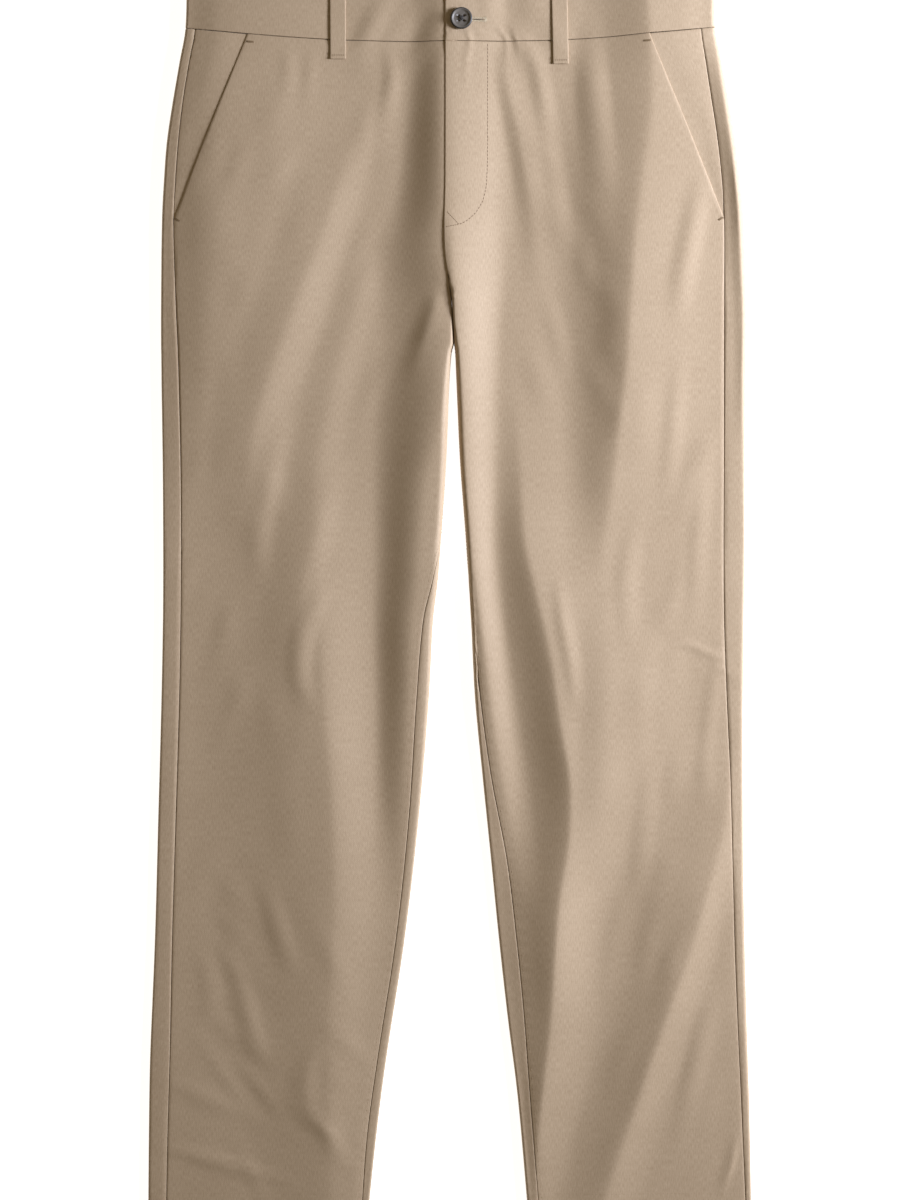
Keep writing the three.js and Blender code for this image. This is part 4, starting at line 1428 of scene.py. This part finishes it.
@dataclass(frozen=True)
class BeltLoop:
    """A belt loop: a folded strip sewn across the waistband.

    Attributes:
        name: The CAD node that it stands for.
        x: Its place across the garment.
        on_back: Whether it lies beneath the back waistband.
        width: Width of the strip.
        below: How far it runs below the waist seam.
        thickness: Thickness of the folded strip.
        arch: How far its middle stands off the waistband.
        lean: How far its lower end is shifted along X.
        turned: Length of its lower end that is turned under.
        sewn_at: Distance of the stitches from its lower end.
    """

    name: str
    x: float
    on_back: bool
    width: float = 13.3
    below: float = 16.5
    thickness: float = 0.95
    arch: float = 0.2
    lean: float = 0.0
    turned: float = 6.5
    sewn_at: float = 3.0

    @property
    def length(self) -> float:
        """Length of the strip."""
        return self.below + BAND_HEIGHT

    def place(self, across: float, up: float) -> Vector:
        """A point on the strip's outer face.

        Args:
            across: Share of its width, from -0.5 to 0.5.
            up: Distance from its lower end.

        Returns:
            The point, in millimetres.
        """
        side = Side.LEFT if self.x > 0 else Side.RIGHT
        lift = float((FORM.back_lift if self.on_back else FORM.front_lift)(self.x, WAIST_SEAM_Y))
        share = up / self.length
        x = self.x + across * self.width + self.lean * (1 - share)
        y = WAIST_SEAM_Y - self.below + up + lift
        if self.on_back:
            return Vector((x, y, 0.02 if share < 1 else 0.05))
        seam_y = WAIST_SEAM_Y + lift
        top = float(FORM.front_height(side, np.array(x), np.array(y)))
        # The lower end is turned under and held down by its stitches.
        ply = 0.5 * float(ease((self.turned - up) / 2))
        bulge = self.arch * math.sin(math.pi * share) ** 2 + ply
        press = 0.35 * math.exp(-((up - self.sewn_at) ** 2))
        proud = BAND_PROUD * float(ease((y - seam_y) / 4 + 1))
        return Vector((x, y, top + proud + 0.2 + self.thickness + bulge - press))

    def build(self, finishes: Wardrobe) -> bpy.types.Object:
        """Make the strip.

        Args:
            finishes: The shared finishes.

        Returns:
            The strip, with its thickness and rounded edges from modifiers.
        """
        across, along = 8, 60
        bm = bmesh.new()
        bmesh.ops.create_grid(bm, x_segments=across, y_segments=along, size=0.5)
        layer = bm.loops.layers.uv.new("cloth")
        for face in bm.faces:
            for loop in face.loops:
                loop[layer].uv = (loop.vert.co.x * self.width * MM, loop.vert.co.y * self.length * MM)
        for vert in bm.verts:
            vert.co = self.place(vert.co.x, (vert.co.y + 0.5) * self.length) * MM
        if self.on_back:
            bmesh.ops.reverse_faces(bm, faces=bm.faces)
        mesh = mesh_from(bm, self.name)
        piece = finish_object(f"{self.name}_strip", mesh, finishes.twill)
        wall = piece.modifiers.new("thickness", "SOLIDIFY")
        wall.thickness = self.thickness * MM
        wall.offset = -1.0
        soft = piece.modifiers.new("soft_edges", "BEVEL")
        soft.width = 0.45 * MM
        soft.segments = 3
        soft.limit_method = "ANGLE"
        soft.angle_limit = math.radians(50)
        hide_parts(self.name)
        return piece


FRONT_LOOPS = (
    BeltLoop("belt_loop_front_right", -95.5, False, lean=0.3),
    BeltLoop("belt_loop_front_left", 93.0, False, below=20.5, lean=1.4),
)
BACK_LOOPS = (
    BeltLoop("belt_loop_back_right", -150.0, True),
    BeltLoop("belt_loop_back_left", 150.0, True),
    BeltLoop("belt_loop_centre_back", 0.0, True),
)


@dataclass(frozen=True)
class Button:
    """The fly button: a dished disc with a raised rim, four holes and its crossed thread.

    Attributes:
        radius: Radius of the disc.
        hole: Radius of a hole.
        hole_spread: How far each hole lies from the disc's middle along X, and along Y.
    """

    radius: float = 9.35
    hole: float = 1.05
    hole_spread: float = 1.85

    # The disc's section: how far in from its edge each point lies, then its height.
    SECTION = (
        (1.9, 0.0), (0.9, 0.35), (0.25, 1.0), (0.0, 1.8), (0.25, 2.55), (0.9, 2.95),
        (1.6, 2.9), (2.2, 2.45), (2.7, 2.1), (3.6, 1.95), (6.2, 2.0),
    )
    MIDDLE_HEIGHT = 2.1

    def _height(self) -> float:
        """Height of the waistband's highest point beneath the button."""
        turn = np.linspace(0, 2 * math.pi, 24, endpoint=False)
        x, y = BUTTON_X + self.radius * np.cos(turn), BUTTON_Y + self.radius * np.sin(turn)
        highest = float(FORM.front_height(Side.LEFT, x, y).max())
        return highest + BAND_PROUD + BAND_RAISE.step + SEAM_GAP

    def build(self, finishes: Wardrobe) -> list[bpy.types.Object]:
        """Make the disc and its thread.

        Args:
            finishes: The shared finishes.

        Returns:
            The disc and the thread.
        """
        base = self._height()
        section = [(self.radius - inset, z) for inset, z in self.SECTION]
        outline = [(0.0, 0.0), *section, (0.0, self.MIDDLE_HEIGHT)]
        bm = bmesh.new()
        verts = [bm.verts.new((x, 0, z)) for x, z in outline]
        edges = [bm.edges.new(pair) for pair in zip(verts, verts[1:])]
        bmesh.ops.spin(
            bm,
            geom=verts + edges,
            cent=(0, 0, 0),
            axis=(0, 0, 1),
            angle=math.tau,
            steps=64,
            use_merge=True,
        )
        bmesh.ops.remove_doubles(bm, verts=bm.verts, dist=0.001)
        bmesh.ops.recalc_face_normals(bm, faces=bm.faces)
        middle = Matrix.Translation((BUTTON_X, BUTTON_Y, base))
        bmesh.ops.transform(bm, matrix=middle, verts=bm.verts)
        bmesh.ops.scale(bm, vec=(MM, MM, MM), verts=bm.verts)
        disc = placed("button_blank", mesh_from(bm, "button_disc"))
        drill = self._drill(base)
        cut = disc.modifiers.new("holes", "BOOLEAN")
        cut.operation = "DIFFERENCE"
        cut.object = drill
        state = bpy.context.evaluated_depsgraph_get()
        shaped = bpy.data.meshes.new_from_object(disc.evaluated_get(state))
        for spare in (disc, drill):
            bpy.data.objects.remove(spare)
        piece = finish_object("fly_button", shaped, finishes.resin)
        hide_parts("button")
        return [piece, self._thread(base, finishes)]

    def _drill(self, base: float) -> bpy.types.Object:
        """Four upright rods where the holes go."""
        rod = {"cap_ends": True, "segments": 24, "radius1": self.hole, "radius2": self.hole, "depth": 8}
        bm = bmesh.new()
        for x, y in self._holes():
            bmesh.ops.create_cone(bm, matrix=Matrix.Translation((x, y, base + 1)), **rod)
        bmesh.ops.scale(bm, vec=(MM, MM, MM), verts=bm.verts)
        return placed("drill", mesh_from(bm, "drill"))

    def _holes(self) -> list[tuple[float, float]]:
        """Places of the four holes."""
        s = self.hole_spread
        return [(BUTTON_X + a * s, BUTTON_Y + b * s) for a, b in ((1, 1), (-1, 1), (-1, -1), (1, -1))]

    def _thread(self, base: float, finishes: Wardrobe) -> bpy.types.Object:
        """The crossed thread, a few strands each way."""
        seam = Stitching("button_thread", finishes.button_thread, "button", 0.32)
        a, b, c, d = (Vector((x, y, 0)) for x, y in self._holes())
        for (first, last), level in (((a, c), 2.55), ((b, d), 2.85)):
            side = (last - first).normalized().cross(Vector((0, 0, 1)))
            for shift in (-0.45, 0.0, 0.45):
                offset = side * shift + Vector((0, 0, base + level))
                seam.add(first + offset, last + offset)
        return seam.build()


@dataclass
class Stitching:
    """A run of stitches: each is a short bulge of thread lying in the cloth.

    Attributes:
        name: The piece's name.
        material: The thread.
        slot: The record's material slot; not used.
        radius: Radius of the thread, in millimetres.
    """

    name: str
    material: bpy.types.Material
    slot: str
    radius: float = 0.24
    _spans: list[tuple[Vector, Vector]] = field(default_factory=list, init=False)

    BATCH = 40

    def add(self, first: Vector, last: Vector) -> None:
        """Put a stitch between two points."""
        self._spans.append((first, last))

    def follow(
        self, points: np.ndarray, length: float = 2.3, gap: float = 0.8, sink: float = 0.08
    ) -> None:
        """Sew along a line.

        Args:
            points: The line, on the cloth's outer face.
            length: Length of each stitch.
            gap: Distance between stitches.
            sink: How far the thread's middle lies below the face, less than its radius.
        """
        along, down = distances(points), Vector((0, 0, sink))
        for start in np.arange(0.3, along[-1] - length, length + gap):
            ends = (
                Vector([float(np.interp(s, along, points[:, k])) for k in range(3)]) - down
                for s in (start, start + length)
            )
            self.add(*ends)

    def build(self) -> bpy.types.Object:
        """Make the stitches as one piece."""
        whole = bmesh.new()
        batch = bpy.data.meshes.new("batch")
        for start in range(0, len(self._spans), self.BATCH):
            bm = bmesh.new()
            for first, last in self._spans[start : start + self.BATCH]:
                run = last - first
                turn = Vector((0, 0, 1)).rotation_difference(run.normalized()).to_matrix().to_4x4()
                size = Matrix.Diagonal((self.radius, self.radius, run.length / 2 + 0.1, 1))
                place = Matrix.Scale(MM, 4) @ Matrix.Translation((first + last) / 2) @ turn @ size
                bmesh.ops.create_uvsphere(bm, u_segments=6, v_segments=5, radius=1, matrix=place)
            bm.to_mesh(batch)
            bm.free()
            whole.from_mesh(batch)
        bpy.data.meshes.remove(batch)
        return finish_object(self.name, mesh_from(whole, self.name), self.material)


@dataclass(frozen=True)
class Sewing:
    """Every row of visible stitching and every bartack.

    Attributes:
        hem_depth: How far the hem's row lies above the hem.
        hole_from: Distance from the centreline of the buttonhole's inner end.
        hole_to: The same for its outer end.
        hole_y: Level of the buttonhole.
    """

    hem_depth: float = 34.0
    hole_from: float = 19.0
    hole_to: float = 29.0
    hole_y: float = 493.2

    # The row that holds the fly's facing, and the two short rows of the tack at its foot.
    FLY_ROW = (
        (32, 473), (32, 400), (32, 372), (31, 352), (28, 339), (22, 329), (14.5, 322), (7.7, 318.6),
    )
    FLY_TACK = (((-2.7, 329.8), (7.8, 318.5)), ((-3.6, 316.6), (7.7, 318.8)))

    @staticmethod
    def _on_front(
        side: Side, line: tuple[tuple[float, float], ...], count: int = 200
    ) -> np.ndarray:
        """Lay a smooth line on a front panel.

        Args:
            side: The panel's side.
            line: Points across and up the garment.
            count: Number of points in the result.

        Returns:
            The line's points on the cloth.
        """
        pts = np.array(line, dtype=float)
        along = distances(pts)
        at = np.linspace(0, along[-1], count)
        x, y = (evened(np.interp(at, along, pts[:, k]), 6) for k in range(2))
        return np.stack([x, y, FORM.front_top(side, x, y)], axis=1)

    @staticmethod
    def _beside_inseam(side: Side, levels: list[float], inset: float) -> np.ndarray:
        """A line at a fixed distance from a front's inner edge.

        Args:
            side: The front's side.
            levels: Levels that the line passes.
            inset: Distance from the edge.

        Returns:
            The line's points on the cloth.
        """
        found = []
        for y in levels:
            points = Trousers.front(side, y)[::-1]
            along = distances(points)
            found.append([np.interp(inset, along, points[:, k]) for k in range(3)])
        return np.array(found)

    def _fly(self, finishes: Wardrobe) -> list[bpy.types.Object]:
        """The curved row that holds the fly's facing, and the tack at its foot."""
        # Its dark thread is partly painted shade of the groove that the row presses into the cloth.
        rows = Stitching("fly_stitching", finishes.tack_thread_painted_shade, "twill", 0.36)
        rows.follow(self._on_front(Side.LEFT, self.FLY_ROW))
        for line in self.FLY_TACK:
            rows.follow(self._on_front(Side.LEFT, line, 60), 1.6, 0.25)
        return [rows.build()]

    def _inseams(self, finishes: Wardrobe) -> list[bpy.types.Object]:
        """The row on the front beside each inseam."""
        rows = Stitching("inseam_stitching", finishes.thread, "twill")
        levels = spread(HEM_Y + 2, CROTCH_Y - 5, 4.0)
        for side in Side:
            rows.follow(self._beside_inseam(side, levels, 3.0), 2.0, 1.1)
        return [rows.build()]

    def _hems(self, finishes: Wardrobe) -> list[bpy.types.Object]:
        """The row round each hem."""
        rows = Stitching("hem_stitching", finishes.thread, "twill", 0.2)
        for side in Side:
            for path in (Trousers.front, Trousers.back):
                rows.follow(path(side, HEM_Y + self.hem_depth), 2.2, 1.2, 0.1)
        return [rows.build()]

    def _pockets(self, finishes: Wardrobe) -> list[bpy.types.Object]:
        """The bartacks at the two ends of each pocket's mouth, five stitches to a tack."""
        tacks = Stitching("pocket_bartacks", finishes.tack_thread_painted_shade, "twill", 0.28)
        for side in Side:
            top, end = Pocket.MOUTH[side]
            for k in range(5):
                # Each stitch: how far out its first end lies, its level, its run inwards and down.
                for out, y, run, fall in (
                    (end - 1.2 + 0.35 * k, 325.5 - 0.2 * k, 4.4, 2.9),
                    (top - 1.2, 475.6 - 0.35 * k, 7.5, 0.4),
                ):
                    x = side.sign * out
                    line = ((x, y), (x - side.sign * run, y - fall))
                    points = self._on_front(side, line, 6)
                    tacks.add(Vector(points[0]), Vector(points[-1]))
        return [tacks.build()]

    def _buttonhole(self, finishes: Wardrobe) -> list[bpy.types.Object]:
        """The buttonhole: a dark strip in its slit as painted shadow, the thread round it and the
        bartack at its end.
        """
        painted_slit_shadow = Stitching("buttonhole_painted_shadow", finishes.painted_slit_shadow, "waistband", 0.42)
        edge = Stitching("buttonhole_thread", finishes.hole_thread, "waistband", 0.3)

        def on_band(x: float, up: float) -> Vector:
            """A point on the waistband's face, at a distance above the slit."""
            y = self.hole_y + up
            return Vector((x, y, float(FORM.band_top(Side.LEFT, np.array(x), np.array(y)))))

        # The dark strip along the slit is painted shadow.
        painted_slit_shadow.add(on_band(self.hole_from, 0), on_band(self.hole_to, 0))
        for x in spread(self.hole_from, self.hole_to, 0.62):
            for sense in (1, -1):
                edge.add(on_band(x, sense * 0.45), on_band(x, sense * 1.9))
        for x in spread(self.hole_to + 0.5, self.hole_to + 2.2, 0.55):
            edge.add(on_band(x, -2.8), on_band(x, 2.8))
        return [painted_slit_shadow.build(), edge.build()]

    def _loops(self, finishes: Wardrobe) -> list[bpy.types.Object]:
        """The rows across the lower end of each front belt loop."""
        rows = Stitching("belt_loop_stitching", finishes.tack_thread_painted_shade, "belt_loops", 0.3)
        for loop in FRONT_LOOPS:
            for up in (2.6, 3.5):
                points = np.array([loop.place(u, up) for u in np.linspace(-0.42, 0.42, 20)])
                rows.follow(points, 1.5, 0.35, 0.1)
        return [rows.build()]

    def build(self, finishes: Wardrobe) -> list[bpy.types.Object]:
        """Sew every row.

        Args:
            finishes: The shared finishes.

        Returns:
            The stitching, one piece for each kind.
        """
        kinds = (self._fly, self._inseams, self._hems, self._pockets, self._buttonhole, self._loops)
        return [piece for kind in kinds for piece in kind(finishes)]


@dataclass(frozen=True)
class Studio:
    """A pale floor, a low soft light from the garment's left, a weak fill and the camera above.

    Attributes:
        floor_colour: Colour of the floor.
        floor_glow: Light that the floor gives off, which keeps its shadows pale.
        floor_drop: How far the floor lies below the garment, in metres.
        camera_height: Height of the camera, in metres.
        lens: Its focal length, in millimetres.
        key_place: Place of the lamp, in metres.
        key_power: Its power, in watts.
        key_size: Width of its face, in metres.
        key_colour: Its light, a little blue.
        fill: Strength of the light from all round.
        fill_colour: Its light, warm.
    """

    floor_colour: str = "#f4f3f1"
    floor_glow: float = 0.85
    floor_drop: float = 0.0004
    camera_height: float = 2.42
    lens: float = 85.0
    key_place: tuple[float, float, float] = (1.4, 0.45, 0.64)
    key_power: float = 53.0
    key_size: float = 0.45
    key_colour: tuple[float, float, float] = (0.95, 1.02, 1.23)
    fill: float = 0.22
    fill_colour: tuple[float, float, float, float] = (1.0, 0.86, 0.61, 1.0)

    def build(self) -> None:
        """Set up the floor, the lights and the camera."""
        self._floor()
        self._lights()
        self._camera()

    def _floor(self) -> None:
        """Lay the floor."""
        bm = bmesh.new()
        bmesh.ops.create_grid(bm, x_segments=1, y_segments=1, size=4)
        bmesh.ops.translate(bm, vec=(0, 0, -self.floor_drop), verts=bm.verts)
        mesh = mesh_from(bm, "floor")
        material = bpy.data.materials.new("pale_floor")
        material.use_nodes = True
        surface = material.node_tree.nodes["Principled BSDF"]
        for name, value in (
            ("Base Color", hexcolour(self.floor_colour)),
            ("Roughness", 0.9),
            ("Emission Color", (1, 1, 1, 1)),
            ("Emission Strength", self.floor_glow),
        ):
            surface.inputs[name].default_value = value
        mesh.materials.append(material)
        placed("floor", mesh)

    def _lights(self) -> None:
        """Hang the lamp and light the surroundings."""
        light = bpy.data.lights.new("key", "AREA")
        light.energy = self.key_power
        light.size = self.key_size
        light.color = self.key_colour
        lamp = placed("key", light)
        lamp.location = self.key_place
        lamp.rotation_euler = (-Vector(self.key_place)).to_track_quat("-Z", "Y").to_euler()
        world = bpy.data.worlds.new("studio")
        bpy.context.scene.world = world
        world.use_nodes = True
        background = world.node_tree.nodes["Background"]
        background.inputs["Color"].default_value = self.fill_colour
        background.inputs["Strength"].default_value = self.fill

    def _camera(self) -> None:
        """Set the camera straight above the middle, as in the photo."""
        view = bpy.data.cameras.new("camera")
        view.lens = self.lens
        view.sensor_fit = "VERTICAL"
        view.sensor_height = 36.0
        view.clip_start = 0.05
        camera = placed("camera", view)
        camera.location = (0, 0, self.camera_height)
        camera.rotation_euler = (0, 0, 0)
        bpy.context.scene.camera = camera
        bpy.context.scene.view_settings.view_transform = "Standard"


def main() -> None:
    """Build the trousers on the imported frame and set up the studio."""
    logging.basicConfig(level=logging.INFO, format="%(message)s")
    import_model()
    Studio().build()
    finishes = Wardrobe.build()
    panels = Legs().build(finishes)
    facings = {side: Pocket(side).build(finishes) for side in Side}
    bands = {side: Waistband(side).build(finishes) for side in Side}
    loops = [loop.build(finishes) for loop in (*FRONT_LOOPS, *BACK_LOOPS)]
    button = Button().build(finishes)
    stitches = Sewing().build(finishes)
    for piece in (*panels.values(), *facings.values(), *bands.values(), *loops, *button, *stitches):
        log.info("%s: %d faces", piece.name, len(piece.data.polygons))


if __name__ == "__main__":
    main()
